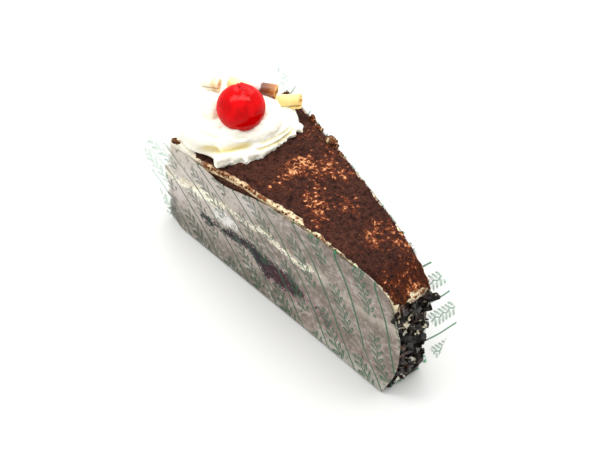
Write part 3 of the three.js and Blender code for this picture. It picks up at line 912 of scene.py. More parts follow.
def film_finish(colours):
    finish = Finish(
        "printed_film", Roughness=0.3, IOR=1.45, Specular_IOR_Level=0.1, Coat_Roughness=0.2
    )
    at = finish.place()
    x, _, z = finish.parts(at)
    number = finish.attribute("number")
    way, aslant, apart = finish.parts(finish.attribute("ruling", "Vector"))
    juice, milk, inside = finish.parts(finish.attribute("touch", "Vector"))
    open_green = srgb(30, 152, 96)

    def blot(along, up, radius, flat):
        """1 in the middle of an oval blot, falling to 0 at its rim. up is its height times flat."""
        return finish.near(finish.stretched(at, (1, 0, flat)), (along, 0, up), radius)

    # Cream and cherry juice cling to the film where it touches the fillings
    ragged = finish.noise(at, 0.26, 4, 0.7) - 0.5
    torn = finish.noise(finish.stretched(at, (1, 1, 1.4)), 0.8, 4, 0.75) - 0.5
    stain = (juice + ragged * 12 + torn * 13).rise(-0.2, 0.2)
    smear = (milk + ragged * 10 + torn * 13).rise(-0.1, 0.5)
    cling = stain.most(smear)
    glow = (milk + ragged * 4).rise(-5.4, -0.2) * x.rise(14, 24) * 0.6
    blush = (juice + ragged * 12 + torn * 14).rise(-3.6, -0.6) * x.rise(-20, 8) * z.rise(24, 18)
    spots = blot(-28.5, 44, 11.5, 1.8).most(blot(-40, 46, 7.5, 1.6))
    drops = (spots + torn * 3 + ragged * 1.4).rise(0.3, 0.46) * spots.rise(0.04, 0.25)
    crumb = finish.noise(at, 0.62, 3, 0.6).rise(0.66, 0.7) * (milk + 3).rise(0, 1.5) * x.rise(24, 18)
    specks = finish.noise(at, 1.1, 2, 0.5).rise(0.7, 0.74) * x.rise(8, 16) * x.rise(36, 26)
    specks = specks * z.rise(26, 20)
    cherry = finish.over(
        srgb(20, 12, 22),
        (x.rise(-12, 2), srgb(52, 16, 28)),
        (torn.rise(0.08, 0.14) * 0.7, srgb(150, 112, 118)),
    )
    milky = finish.over(
        srgb(252, 248, 228),
        (ragged.rise(0, 0.14), srgb(214, 202, 174)),
        (torn.rise(0.06, 0.14) * x.rise(-36, -30), srgb(128, 88, 66)),
    )

    # Past the cake and over its top the film stays open and clear
    open_film = (inside + (ragged * 14 + torn * 5) * x.rise(-46, -56)).rise(1.0, -0.2)
    open_film = open_film.most((x + ragged * 6).rise(-54, -63) * z.rise(26, 36) * 0.9)

    # Fine slanting lines with a running sprig between each pair
    place = number.fraction() - 0.5
    ruled = abs(place).rise(0.5 - LINE_EDGE, 0.5 - LINE_HALF)
    along = way + place * aslant
    broken = (along * 0.2 + number.floor() * 2.3).sine().rise(-0.72, -0.6)
    ink = ruled.most(sprig(along, place * apart) * broken * 0.85)

    # Fog inside the film: palest at the wide end; painted light makes it lighter towards the top, painted
    # shade darkens it along most of the foot, and painted highlights run along the wrinkles
    cloud = finish.noise(at, 0.09, 3, 0.55)
    mottle = finish.noise(at, 0.45, 4, 0.7)
    wrinkle_highlight = finish.noise(finish.stretched(at, (0.5, 0.5, 1)), 0.14, 3, 0.6, 0.8).ridge()
    pale = blot(-15, 68, 11, 1.6).most(blot(-55, 12, 9, 0.6) * 0.8)
    # Darker and ragged low down at the wide end
    rim_darkening = (x.rise(-50, -60) * z.rise(18, 11) * 0.5 + ragged * 1.3 + torn).rise(0.3, 0.42)
    haze = finish.over(
        colours.haze,
        (cloud.rise(0.35, 0.65), srgb(158, 142, 129)),
        # paler at the wide end, and with painted light more so higher up
        (x.rise(2, -52) * (0.45 + z.rise(6, 30) * 0.55), srgb(228, 218, 206)),
        # painted light: lighter near the top of the wall
        (z.rise(28, 46) * x.rise(16, -22) * 0.55, srgb(212, 201, 188)),
        # painted shade: darker along the foot
        (z.rise(13, 3) * x.rise(22, -6) * 0.75, srgb(112, 108, 96)),
        (z.rise(11, 2) * x.rise(14, 32) * 0.75, srgb(186, 184, 172)),
        (mottle.rise(0.5, 0.66) * 0.5, srgb(216, 206, 198)),
        (mottle.rise(0.48, 0.34) * 0.6, srgb(98, 88, 82)),
        # painted highlights along the wrinkles
        (wrinkle_highlight.rise(0.88, 0.99) * cloud.rise(0.4, 0.6) * 0.4, srgb(226, 216, 210)),
        ((pale + torn + ragged).rise(0.35, 0.8) * 0.7, srgb(228, 218, 214)),
        (glow, srgb(214, 204, 186)),
        (drops * (0.4 + mottle.rise(0.42, 0.48) * 0.6), srgb(254, 252, 246)),
        (rim_darkening * 0.6, srgb(62, 66, 54)),
        (blush * 0.6, srgb(156, 118, 124)),
        (stain, cherry),
        (smear, milky),
        (crumb, srgb(104, 66, 46)),
        (specks, srgb(140, 58, 62)),
        (open_film.rise(0.85, 1), open_green),
    )
    green = finish.over(srgb(50, 74, 58), (x.rise(-44, 26), colours.print), (open_film, open_green))
    finish.paint("Base Color", finish.mix(ink, haze, green))
    veil = (0.72 + (cloud - 0.5) * 0.1).most(cling * 0.95) * (1 - open_film * 0.99)
    finish.paint("Alpha", veil.most(ink * (0.96 - open_film * (0.5 - x.rise(-30, 40) * 0.12))))
    finish.paint("Coat Weight", 0.5 - cling * 0.4)
    finish.bump(finish.noise(at, 0.12, 3, 0.6), 1.0)
    return finish.material


def floor_finish(colour):
    finish = Finish("plain_floor", Roughness=0.7, Specular_IOR_Level=0.2, Base_Color=tuple(colour))
    return finish.material


# ---------------------------------------------------------------- cake


LAYER_ROWS = 44


def layer(lower, upper, half, to=CAKE_TO, columns=120, layers=16):
    """One layer of the slice between two faces, given as functions of x and of the share across.

    half gives the layer's half width at x.
    """

    def place(x, y, z):
        across = y * 2
        straight = lerp(CAKE_FROM, to, x + 0.5)
        height = lerp(lower(straight, across), upper(straight, across), z + 0.5)
        return straight + bulge(straight, across), across * half(straight), height

    return block(columns, LAYER_ROWS, layers, place)


def shifted(face, amount):
    return lambda x, across: face(x, across) + amount


class CAKE_OT_sponges(bpy.types.Operator):
    """Bakes the three layers of chocolate sponge"""

    bl_idname = "cake_slice.sponges"
    bl_label = "Sponge Layers"

    def execute(self, context):
        settings = context.scene.cake_slice
        material = sponge_finish(settings.colours)
        depth = settings.sizes.crumb_depth / MM
        faces = {
            "sponge_base": (lambda x, across: BASE_HEIGHT, shifted(under_filling, -GAP / 2)),
            "sponge_middle": (shifted(over_filling, GAP / 2), shifted(under_cream, -GAP / 2)),
            "sponge_top": (shifted(over_cream, GAP / 2), shifted(under_coat, -GAP / 2)),
        }

        def pores(point, normal):
            pore = max(0, grain(point, 2.1) - 0.1) * 1.5 + max(0, grain(point, 0.9, 7)) * 0.8
            return -depth * min(1.4, pore)

        for name, (lower, upper) in faces.items():
            bm = layer(lower, upper, cake_half_width)
            roughen(bm, pores)
            finish_piece(name + "_crumb", bm, material, [name], crisp=1.0)
        return {"FINISHED"}


def filling_half_width(x):
    """Half width of the fillings, which all but touch the film."""
    return half_width(x) - FILM - FILLING_GAP


class CAKE_OT_fillings(bpy.types.Operator):
    """Spreads the cherry filling and the cream between the sponges"""

    bl_idname = "cake_slice.fillings"
    bl_label = "Fillings"

    def execute(self, context):
        colours = context.scene.cake_slice.colours

        def sticky(point, normal):
            return 0.12 * grain(point, 3.2) - 0.5 * max(0, grain(point, 1.7, 3)) * abs(normal.y)

        def spread(point, normal):
            return -0.5 * max(0, grain(point, 2.6, 5)) * abs(normal.y)

        faces = (shifted(under_filling, GAP / 2), shifted(over_filling, -GAP / 2))
        end = CAKE_FROM + CAKE_LENGTH * FILLING_SHARE
        bm = layer(*faces, filling_half_width, end, columns=110, layers=8)
        roughen(bm, sticky)
        material = filling_finish(colours)
        finish_piece("cherry_filling_fruit", bm, material, ["cherry_filling"])

        faces = (shifted(under_cream, GAP / 2), shifted(over_cream, -GAP / 2))
        bm = layer(*faces, filling_half_width, layers=4)
        roughen(bm, spread)
        material = cream_finish(colours, "filling_cream", 0.8)
        finish_piece("cream_middle_spread", bm, material, ["cream_middle"])
        return {"FINISHED"}


# Stations of the coat: up the rim, round its edge, along the top, round the narrow end's edge and down it
RIM_STEPS = 30
CORNER_STEPS = 7
TOP_STEPS = 150
COAT_STEPS = 2 * (RIM_STEPS + CORNER_STEPS) + TOP_STEPS
COAT_ROWS = 72


def coat_outside(step, across):
    """(x, z) of the coat's outside at a station, before the ends' bulge."""
    radius = TOP_EDGE_ROUND
    from_end = min(step, COAT_STEPS - step)
    end, facing = (COAT_FROM, 1) if step <= COAT_STEPS / 2 else (COAT_TO, -1)
    if from_end <= RIM_STEPS:
        return end, lerp(BASE_HEIGHT, top_height(end, across) - radius, from_end / RIM_STEPS)
    if from_end <= RIM_STEPS + CORNER_STEPS:
        turn = (from_end - RIM_STEPS) / CORNER_STEPS * math.pi / 2
        x = end + facing * radius * (1 - math.cos(turn))
        return x, top_height(x, across) - radius * (1 - math.sin(turn))
    x = lerp(COAT_FROM + radius, COAT_TO - radius, (step - RIM_STEPS - CORNER_STEPS) / TOP_STEPS)
    return x, top_height(x, across)


def coat_inside(step, across):
    """(x, z) of the coat's inside at a station."""
    from_end = min(step, COAT_STEPS - step)
    end = CAKE_FROM - GAP if step <= COAT_STEPS / 2 else CAKE_TO + GAP
    if from_end <= RIM_STEPS:
        return end, lerp(BASE_HEIGHT, under_coat(end, across) + GAP / 2, from_end / RIM_STEPS)
    x = lerp(CAKE_FROM - GAP, CAKE_TO + GAP, (step - RIM_STEPS) / (COAT_STEPS - 2 * RIM_STEPS))
    return x, under_coat(x, across) + GAP / 2


def dust_at(point, across, outside):
    """How much cocoa lies at a point of the coat, from -1 to 1."""
    if not outside:
        return -1
    x, y, z = point
    drop = top_height(x, across) - z
    if drop > 3.4:
        return -0.2
    rough = 0.9 * grain(point, 6) + 0.5 * grain(point, 2.4, 3)
    bare = (lerp(1.5, 0.4, smooth(x, 5, 34)) if across < 0 else 0.1) + 1.2 * rough
    edge = smooth((1 - abs(across)) * cake_half_width(x), bare - 0.7, bare + 0.7)
    rim = smooth(x + 5 * grain(point, 9, 4), -54, -49) if across < 0.2 else smooth(x, -56, -53)
    corner = smooth(math.hypot(x + 58, (y + 27) * 0.9), 9, 15)
    tip = smooth(COAT_TO - x + 1.6 * grain(point, 3, 6) + 0.8 * grain(point, 1.1, 2), -0.9, 0.9)
    return min(edge, smooth(drop + 0.8 * grain(point, 2.2, 8), 3.2, 1.2), rim, corner, tip)


class CAKE_OT_coat(bpy.types.Operator):
    """Coats the slice with cream and dusts its top with cocoa"""

    bl_idname = "cake_slice.coat"
    bl_label = "Dusted Coat"

    def execute(self, context):
        settings = context.scene.cake_slice

        def place(x, y, z):
            step = round((x + 0.5) * COAT_STEPS)
            across = y * 2
            outer = coat_outside(step, across)
            inner = coat_inside(step, across)
            share = z + 0.5
            along, up = (lerp(a, b, share) for a, b in zip(inner, outer))
            point = (along + bulge(along, across), across * cake_half_width(along), up)
            outside = share > 0.99
            on_top = RIM_STEPS <= step <= COAT_STEPS - RIM_STEPS
            clean = 1 - smooth(along, -50, -38) if on_top else smooth(grain(point, 6, 2), -0.3, 0.3)
            return point, dust_at(point, across, outside), clean, float(outside and on_top)

        bm = block(COAT_STEPS, COAT_ROWS, 3, place, {"dust": "float", "clean": "float", "shown": "float"})
        shown = bm.verts.layers.float["shown"]
        bm.normal_update()
        height = settings.sizes.dust_grain / MM
        moves = {}
        for vert in bm.verts:
            point = vert.co
            if vert[shown]:
                rough = 0.8 * grain(point, 9, 1) + grain(point, 2.2) + 0.7 * grain(point, 1.1, 4) + 0.3
                moves[vert] = height * rough * vert.normal
            else:
                moves[vert] = -0.4 * max(0, grain(point, 1.6, 9)) * vert.normal
        for vert, move in moves.items():
            vert.co += move
        material = coat_finish(settings.colours)
        finish_piece("dusted_coat", bm, material, ["cream_coat"], crisp=1.2)
        return {"FINISHED"}


# ---------------------------------------------------------------- shards and crumbs

# The corners of a chip in the order in which the CAD part draws them
CHIP_CORNERS = [
    (0.5, 0.5, 0.5), (0.5, 0.5, -0.5), (0.5, -0.5, 0.5), (0.5, -0.5, -0.5),
    (-0.5, 0.5, -0.5), (-0.5, 0.5, 0.5), (-0.5, -0.5, -0.5), (-0.5, -0.5, 0.5),
]


def make_draw(seed):
    """Repeatable draws between 0 and 1, the same as the CAD part's."""
    state = [seed]

    def draw():
        state[0] = (state[0] * 1664525 + 1013904223) % 4294967296
        return state[0] / 4294967296

    return draw


def chip(at, length, width, thickness, turn, draw):
    """One flat chip with uneven corners and broken edges."""

    def uneven():
        return 0.75 + 0.5 * draw()

    corners = {
        c: Vector((c[0] * thickness * uneven(), c[1] * length * uneven(), c[2] * width * uneven()))
        for c in CHIP_CORNERS
    }
    matrix = Euler(turn, "ZYX").to_matrix()

    def place(x, y, z):
        point = Vector((0, 0, 0))
        for corner, spot in corners.items():
            share = 1
            for value, side in zip((x, y, z), corner):
                share *= 0.5 + value * (1 if side > 0 else -1)
            point += spot * share
        return matrix @ point + Vector(at)

    bm = block(2, 3, 2, place)
    middle = Vector(at)
    for vert in bm.verts:
        outward = (vert.co - middle) * 0.16
        sharp = [e for e in vert.link_edges if e.is_manifold and e.calc_face_angle(0) > 0.8]
        vert.co += outward * grain(vert.co, 0.9, 2) - outward * 0.25 * len(sharp) / 3
    return bm


def chip_field(seed, facing, at, bulge_out, spacing, top):
    """Chips over one end of the cake: facing is 1 at the narrow end and -1 at the rim."""
    half_span = cake_half_width(at) - SHARD_SIDE_GAP
    draw = make_draw(seed)
    chips = []
    z = SHARD_FOOT
    while z < top:
        y = -half_span
        while y <= half_span:
            across = y + spacing * (draw() - 0.5)
            out = bulge_out * (1 - (across / half_span) ** 2) + 0.9 * draw()
            centre = (at + facing * out, across, z + spacing * (draw() - 0.5))
            size = [lerp(*limits, draw()) for limits in (SHARD_LENGTH, SHARD_WIDTH, SHARD_THICKNESS)]
            turn = ((draw() - 0.5) * math.pi, (draw() - 0.5) * 1.5, (draw() - 0.5) * 1.5)
            chips.append(chip(centre, *size, turn, draw))
            y += spacing
        z += spacing * 0.82
    return chips


class CAKE_OT_shards(bpy.types.Operator):
    """Presses the chocolate shards into the coat's two ends"""

    bl_idname = "cake_slice.shards"
    bl_label = "Chocolate Shards"

    def execute(self, context):
        chips = chip_field(11, 1, COAT_TO, END_BULGE, END_SHARD_SPACING, END_SHARD_TOP)
        chips += chip_field(23, -1, COAT_FROM, RIM_BULGE, RIM_SHARD_SPACING, RIM_SHARD_TOP)
        chips.append(chip(*LOOSE_SHARD, make_draw(5)))
        rng = random.Random(31)
        for _ in range(SMALL_SHARDS):
            z = rng.uniform(2.5, 46)
            y = rng.uniform(-1, 1) * (cake_half_width(COAT_TO) - 0.6)
            spot = (COAT_TO + rng.uniform(0.4, 1.6), y, z)
            size = (rng.uniform(1.2, 2.6), rng.uniform(0.9, 2), rng.uniform(0.5, 1))
            turn = [rng.uniform(-1.5, 1.5) for _ in range(3)]
            chips.append(chip(spot, *size, turn, make_draw(rng.randrange(9999))))
        bm = bmesh.new()
        for one in chips:
            add_mesh(bm, one)
        for vert in bm.verts:
            if vert.co.z < LOOSE_TOP:
                keep_inside(vert, half_width(min(TIP, vert.co.x)) - FILM - SHARD_ROOM)
            vert.co.z = max(BASE_HEIGHT, vert.co.z)
        material = shard_finish(context.scene.cake_slice.colours)
        finish_piece("chocolate_shards", bm, material, ["cream_coat"], crisp=0.5)
        return {"FINISHED"}


# Loose crumbs as (middle, spread, how many, size)
CRUMB_HEAPS = [
    ((-33.2, 24, 50.6), (1.3, 0.9, 0.5), 8, 1.4),
    ((-33.2, 24, 50.6), (2, 1.2, 0.6), 14, 0.6),
    ((-27.4, 22.6, 51), (1.6, 0.6, 0.5), 9, 0.9),
    ((-17, 21.4, 51.6), (2.6, 0.9, 0.5), 14, 1.6),
    ((-17, 21.4, 51.6), (3.4, 1, 0.5), 18, 0.6),
    ((-10, 19.8, 51.6), (3, 0.5, 0.5), 10, 0.6),
    ((-55.8, -26.4, 45.4), (1.2, 0.8, 0.6), 6, 0.85),
    ((-55.6, -26, 45.4), (2, 0.9, 0.6), 8, 0.6),
    ((-25, -24, 47), (14, 0.5, 0.5), 26, 0.5),
    ((4, -20.6, 51.2), (26, 0.5, 0.5), 26, 0.4),
    ((20, -17, 53), (26, 0.5, 0.3), 20, 0.35),
    ((0, 17.6, 52), (40, 0.5, 0.3), 26, 0.45),
]


class CAKE_OT_crumbs(bpy.types.Operator):
    """Scatters loose crumbs along the top's edges"""

    bl_idname = "cake_slice.crumbs"
    bl_label = "Loose Crumbs"

    def execute(self, context):
        rng = random.Random(7)
        bm = bmesh.new()
        for middle, spread, count, size in CRUMB_HEAPS:
            for _ in range(count):
                x, y, _z = (c + rng.uniform(-1, 1) * s for c, s in zip(middle, spread))
                radius = size * rng.uniform(0.5, 1.2)
                across = max(-1, min(1, y / cake_half_width(x)))
                y = across * (cake_half_width(x) + 0.1)
                spot = Matrix.Translation((x, y, top_height(x, across) + radius * 0.35))
                made = bmesh.ops.create_icosphere(bm, subdivisions=2, radius=radius, matrix=spot)
                for vert in made["verts"]:
                    vert.co += (vert.co - spot.translation) * 0.7 * grain(vert.co, 0.7, radius)
        material = crumb_finish(context.scene.cake_slice.colours)
        finish_piece("loose_crumbs", bm, material, crisp=0.9)
        return {"FINISHED"}


# ---------------------------------------------------------------- cream and cherry


def rope(points):
    """A rope of cream along (x, y, z, radius) points, closed at both ends."""
    route = path([p[:3] for p in points])
    radius = line([(i / (len(points) - 1), p[3]) for i, p in enumerate(points)])
    bm = bmesh.new()
    bmesh.ops.create_uvsphere(bm, u_segments=ROPE_SIDES, v_segments=ROPE_STEPS, radius=1)
    for vert in bm.verts:
        x, y, z = vert.co
        share = min(1, max(0, (1 - z) / 2))
        tangent = (route(min(1, share + 0.005)) - route(max(0, share - 0.005))).normalized()
        beside = Vector((0, 0, 1)).cross(tangent).normalized()
        over = tangent.cross(beside)
        section = math.sqrt(max(1e-6, 1 - z * z))
        thick = radius(share) * min(1, section * 2.2) / section
        vert.co = route(share) + beside * (x * thick) + over * (y * thick)
    bmesh.ops.recalc_face_normals(bm, faces=bm.faces)
    return bm


def mound():
    """The dome of cream under the ropes."""
    outline = path(CREAM_OUTLINE, closed=True)
    bm = bmesh.new()
    bmesh.ops.create_uvsphere(bm, u_segments=96, v_segments=40, radius=1)
    for vert in bm.verts:
        x, y, z = vert.co
        turn = math.atan2(y, x) / (2 * math.pi) + 0.17
        flat = CREAM_MIDDLE.lerp(outline(turn), min(1, math.hypot(x, y)))
        rise = CREAM_RISE * z**0.75 if z > 0 else CREAM_SINK * z
        vert.co = (flat.x, flat.y, top_line(flat.x) + 0.8 + rise)
    bmesh.ops.recalc_face_normals(bm, faces=bm.faces)
    return bm


# Ragged scraps where the cream was pulled off, along its lower right edge
SCRAP_EDGE = [
    (-28.4, -13.5, 49.8), (-26.6, -8, 50.2), (-26.2, -3, 50.4), (-27.8, 2, 50.6), (-28.6, 8, 50.8),
    (-29.8, 12.6, 50.8), (-33.4, 16, 50.8),
]

# Folds of the cream as the front shows them: level of the plane that they are measured on, depth,
# width and places
CREAM_FOLDS = [
    (52, 2.2, 1.4, [(-43, -27), (-40, -22.5), (-36, -18.4), (-33.7, -14.1), (-32.2, -8.9), (-32, -5)]),
    (57, 0.7, 1.3, [(-54.2, -20.8), (-44.8, -21.4), (-39.8, -18.8), (-37.4, -16.5)]),
    (51.5, 1, 0.7, [(-29.4, -8), (-28.3, -4.6), (-27.9, -0.3), (-28.2, 5), (-29.6, 9.7), (-31.9, 14.1)]),
    (52.5, 0.8, 0.6, [(-30.4, -5), (-29.7, -1.8), (-29.6, 2.7), (-30.3, 8.3), (-32.4, 12.6)]),
    (55, 0.5, 0.8, [(-36.4, -12.4), (-34.4, -10.4), (-33.2, -7)]),
]


def on_level(point, level):
    """Where the line of sight from the front through a point meets a level plane."""
    return (point - FRONT * ((point.z - level) / FRONT.z)).to_2d()


class CAKE_OT_rosette(bpy.types.Operator):
    """Pipes the swirl of cream under the cherry"""

    bl_idname = "cake_slice.rosette"
    bl_label = "Piped Cream"

    def execute(self, context):
        settings = context.scene.cake_slice
        bm = mound()
        for points in (LOWER_ROPE, UPPER_ROPE):
            add_mesh(bm, rope(points))
        rng = random.Random(3)
        edge = path(SCRAP_EDGE)
        for _ in range(SCRAPS):
            spot = edge(rng.random()) + Vector([rng.uniform(-1.2, 0.8) for _ in range(3)])
            stretch = Matrix.Diagonal([rng.uniform(0.6, 1.7) for _ in range(3)]).to_4x4()
            placed = Matrix.Translation(spot) @ stretch
            bmesh.ops.create_icosphere(bm, subdivisions=2, radius=SCRAP_RADIUS, matrix=placed)
        reach = CHERRY_RADIUS * LIP_REACH
        for _ in range(LIPS):
            turn = math.radians(rng.uniform(-110, 40))
            drop = -LIP_DROP + rng.uniform(-1.2, 0.7)
            lip = Vector((reach * math.cos(turn), reach * math.sin(turn), drop))
            spot = Matrix.Translation(CHERRY_CENTRE + lip)
            bmesh.ops.create_icosphere(bm, subdivisions=2, radius=rng.uniform(0.9, 1.6), matrix=spot)
        bm = fuse(bm, settings.sizes.rosette_grid / MM)
        # fold keeps how deep each point lies in a hollow or one of the folds, for the cream's painted shade
        fold = bm.verts.layers.float.new("fold")
        soften(bm, FIRM_PASSES)
        sharp = {v: v.co.copy() for v in bm.verts}
        soften(bm, SOFT_PASSES)
        bm.normal_update()
        for vert in bm.verts:
            soft = vert.co.copy()
            hollow_shade = smooth((soft - sharp[vert]).dot(vert.normal), 0.02, 0.45)
            vert.co = sharp[vert]
            shown = smooth(vert.normal.dot(FRONT), -0.1, 0.2) * smooth(vert.co.z, 47, 48.5)
            for level, depth, width, places in CREAM_FOLDS if shown else ():
                away, share = nearest(places, on_level(sharp[vert], level))
                cut = bell(away, width) * shown * smooth(abs(share - 0.5), 0.5, 0.3)
                vert.co -= vert.normal * (depth * cut)
                hollow_shade = max(hollow_shade, 0.8 * cut * min(1, depth))
            vert[fold] = hollow_shade

        def ragged(p, n):
            skirt = smooth(p.z, 53, 51) * smooth(n.dot(FRONT), -0.4, 0.2) * smooth(p.x, -38, -31)
            fine = 0.7 * grain(p, 2.4, 3) + 0.4 * grain(p, 0.8, 9) - 0.3
            return 0.22 * grain(p, 5) + 0.1 * grain(p, 1.7, 6) + skirt * fine

        roughen(bm, ragged)
        for vert in bm.verts:
            keep_inside(vert, cake_half_width(min(TIP, vert.co.x)))
        finish_piece("piped_cream", bm, cream_finish(settings.colours), ["rosette"])
        return {"FINISHED"}


class CAKE_OT_cherry(bpy.types.Operator):
    """Sets the candied cherry on the cream"""

    bl_idname = "cake_slice.cherry"
    bl_label = "Cherry"

    def execute(self, context):
        settings = context.scene.cake_slice
        radius = settings.sizes.cherry_radius / MM
        bm = bmesh.new()
        bmesh.ops.create_icosphere(bm, subdivisions=6, radius=1)
        hollow_shade = bm.verts.layers.float.new("hollow_shade")
        for vert in bm.verts:
            p = vert.co.normalized()
            # The lip that the stem left: a short crease, with higher flesh on its upper right
            spot = Vector((p.dot(FRONT_RIGHT), p.dot(FRONT_UP)))
            away, share = nearest(CHERRY_CREASE, spot)
            front = smooth(p.dot(FRONT), -0.05, 0.15)
            groove = bell(away, 0.045) * smooth(share, 1, 0.6) * front
            beyond = smooth(spot.x + 0.55 * (spot.y - 0.7), -0.1, 0.02) * bell(away, 0.24)
            lip = beyond * smooth(share, 0.95, 0.4) * front
            lip -= 0.6 * (1 - beyond) * bell(away, 0.2) * smooth(share, 0.8, 0.3) * front
            flat = 1 - 0.03 * abs(p.z)
            wobble = 0.1 * grain(p, 0.6) + 0.04 * grain(p, 0.2, 2)
            # The groove's depth is kept for the painted shade in the groove
            vert[hollow_shade] = groove
            vert.co = p * ((radius + lip * 0.65 - groove * 0.6 + wobble - 0.15) * flat) + CHERRY_CENTRE
        finish_piece("candied_cherry", bm, cherry_finish(settings.colours), ["cherry"])
        return {"FINISHED"}


CURL_COLUMNS = 36
CURL_TURN_ROWS = 40  # in one full turn
CURL_LAYERS = 4


def curl(start, stop, radius, turns, sheet):
    """A sheet of this thickness rolled up round the line from start to stop."""
    start, stop = Vector(start), Vector(stop)
    axis = stop - start
    turned = Vector((0, 0, 1)).rotation_difference(axis).to_matrix()

    def place(x, y, z):
        share = x + 0.5
        wound = (y + 0.5) * turns * 2 * math.pi
        ragged = 0.35 * math.sin(wound * 1.3 + radius) * (2 * abs(share - 0.5)) ** 4
        reach = radius - (CURL_SHEET + CURL_SPACE) * (y + 0.5) * turns - (0.5 - z) * sheet
        reach += 0.06 * math.sin(share * 23 + wound * 2)
        up = share * axis.length + ragged
        flat = Vector((reach * math.cos(wound), reach * math.sin(wound), up))
        # gap marks the end faces near the sheet's two sides, for the painted shade of the spiral's gaps
        gap = (2 * abs(z)) ** 2 if abs(x) > 0.49 else 0
        return turned @ flat + start, share, gap

    marks = {"along": "float", "gap": "float"}
    bm = block(CURL_COLUMNS, round(turns * CURL_TURN_ROWS), CURL_LAYERS, place, marks)
    bmesh.ops.recalc_face_normals(bm, faces=bm.faces)
    return bm


class CAKE_OT_curls(bpy.types.Operator):
    """Rolls the chocolate curls"""

    bl_idname = "cake_slice.curls"
    bl_label = "Chocolate Curls"

    def execute(self, context):
        settings = context.scene.cake_slice
        pale = tuple(settings.colours.pale_chocolate)
        brown = tuple(settings.colours.milk_chocolate)
        bands = {
            "curl_left": [
                (0, srgb(254, 251, 238)),
                (0.5, srgb(252, 245, 220)),
                (0.72, srgb(236, 206, 156)),
                (1, srgb(246, 228, 188)),
            ],
            "curl_middle": [
                (0, pale),
                (0.4, srgb(244, 226, 178)),
                (0.55, srgb(226, 208, 198)),
                (0.66, srgb(214, 196, 190)),
                (0.71, srgb(98, 62, 46)),
                (0.8, brown),
                (0.88, srgb(150, 92, 44)),
                (1, srgb(176, 114, 56)),
            ],
            "curl_right": [(0, srgb(248, 230, 164)), (0.6, pale), (1, srgb(244, 212, 130))],
        }
        for name, *shape in CURLS:
            bm = curl(*shape, settings.sizes.curl_sheet / MM)
            material = curl_finish(name + "_chocolate", bands[name])
            finish_piece(name + "_roll", bm, material, [name], crisp=0.9)
        return {"FINISHED"}


# ---------------------------------------------------------------- film

left_edge, right_edge = line(LEFT_EDGE), line(RIGHT_EDGE)
left_rim_end, right_rim_end = line(LEFT_RIM_END), line(RIGHT_RIM_END)
left_far_end, right_far_end = line(LEFT_FAR_END), line(RIGHT_FAR_END)
print_line = line(PRINT_LINES)
print_leans = [(place, line(leans)) for place, leans in PRINT_LEANS]
juice_height, juice_half = line(JUICE_HEIGHT), line(JUICE_HALF)
milk_height, milk_half = line(MILK_HEIGHT), line(MILK_HALF)
FILM_COLUMNS = 170
WALL_ROWS = 44
WALL_EASE = 1.4
FOLD_ROWS = 6
FLOOR_ROWS = 24
FILM_ROWS = 2 * (WALL_ROWS + FOLD_ROWS) + FLOOR_ROWS
FLOOR_CLEAR = -3  # how deep the floor and the right fold count as being in the cake: they stay clear


def flare(x, z, up, right):
    """How far a wall leans out of the cake's side, by x, its height and the share of that height."""
    far = smooth(x, 30 if right else 10, LENGTH / 2 + 4)
    past = smooth(-x, LENGTH / 2 - 2, LENGTH / 2 + 14)
    lean = RIGHT_FLARE * (1 - 0.35 * up) if right else LEFT_FLARE * (1 - up)
    curve = max(0, 1 - max(0, z - FOLD_RADIUS) / FOOT_HEIGHT) ** 2
    foot = RIGHT_FOOT if right else LEFT_FOOT
    return far * lean + past * RIM_FLARE + foot * curve * smooth(x, -62, -50)


def climbed(lean):
    """The length of a line that leans like this, as a function of its height, in millimetres."""
    total, lengths = 0, [(0, 0)]
    for z in range(2, 52, 2):
        total += math.hypot(2, lean(z) - lean(z - 2))
        lengths.append((z, total))
    return line(lengths)


print_climbs = [climbed(lean) for _, lean in print_leans]


def print_at(x, up):
    """(number, way): the print's line, whole on a line and half midway, and the way along it."""
    z = max(0, up)
    below = min(0, up)
    places = [place for place, _ in print_leans]
    leans = [lean(z) for _, lean in print_leans]
    crossing = x
    for _ in range(PRINT_ROUNDS):
        i = 0 if crossing < places[1] else 1
        share = (crossing - places[i]) / (places[i + 1] - places[i])
        share = min(1.3, max(-0.4, share))
        crossing = x + lerp(leans[i], leans[i + 1], share) + below * PRINT_SLANT
    way = lerp(print_climbs[i](z), print_climbs[i + 1](z), share) + below * math.hypot(1, PRINT_SLANT)
    return print_line(crossing), way


def print_rule(x, up):
    """(number, ruling): ruling is the way, and how far lines are apart along and across them."""
    number, way = print_at(x, up)
    over = (print_at(x + PRINT_PROBE, up)[0] - number) / PRINT_PROBE
    rise = (print_at(x, up + PRINT_PROBE)[0] - number) / PRINT_PROBE
    steep = math.hypot(over, rise)
    return number, (way, -rise / (over * steep), 1 / steep)


def film_touch(x, z, off, right):
    """How deep a point of the film, this far off the cake's side, is in juice, milk and the cake."""
    juice = juice_half(x) - abs(z - juice_height(x))
    milk = milk_half(x) - abs(z - milk_height(x))
    past_rim = x + LENGTH / 2 + 2.5
    under_top = top_height(min(x, COAT_TO), 1 if right else -1) - z
    if right:
        return juice, milk, min(past_rim, COAT_TO + 0.5 - x, (0.5 - off) * 2, under_top)
    return juice, milk, min(past_rim, left_far_end(z) + 2 - x, under_top + (6 if x > 40 else 0))


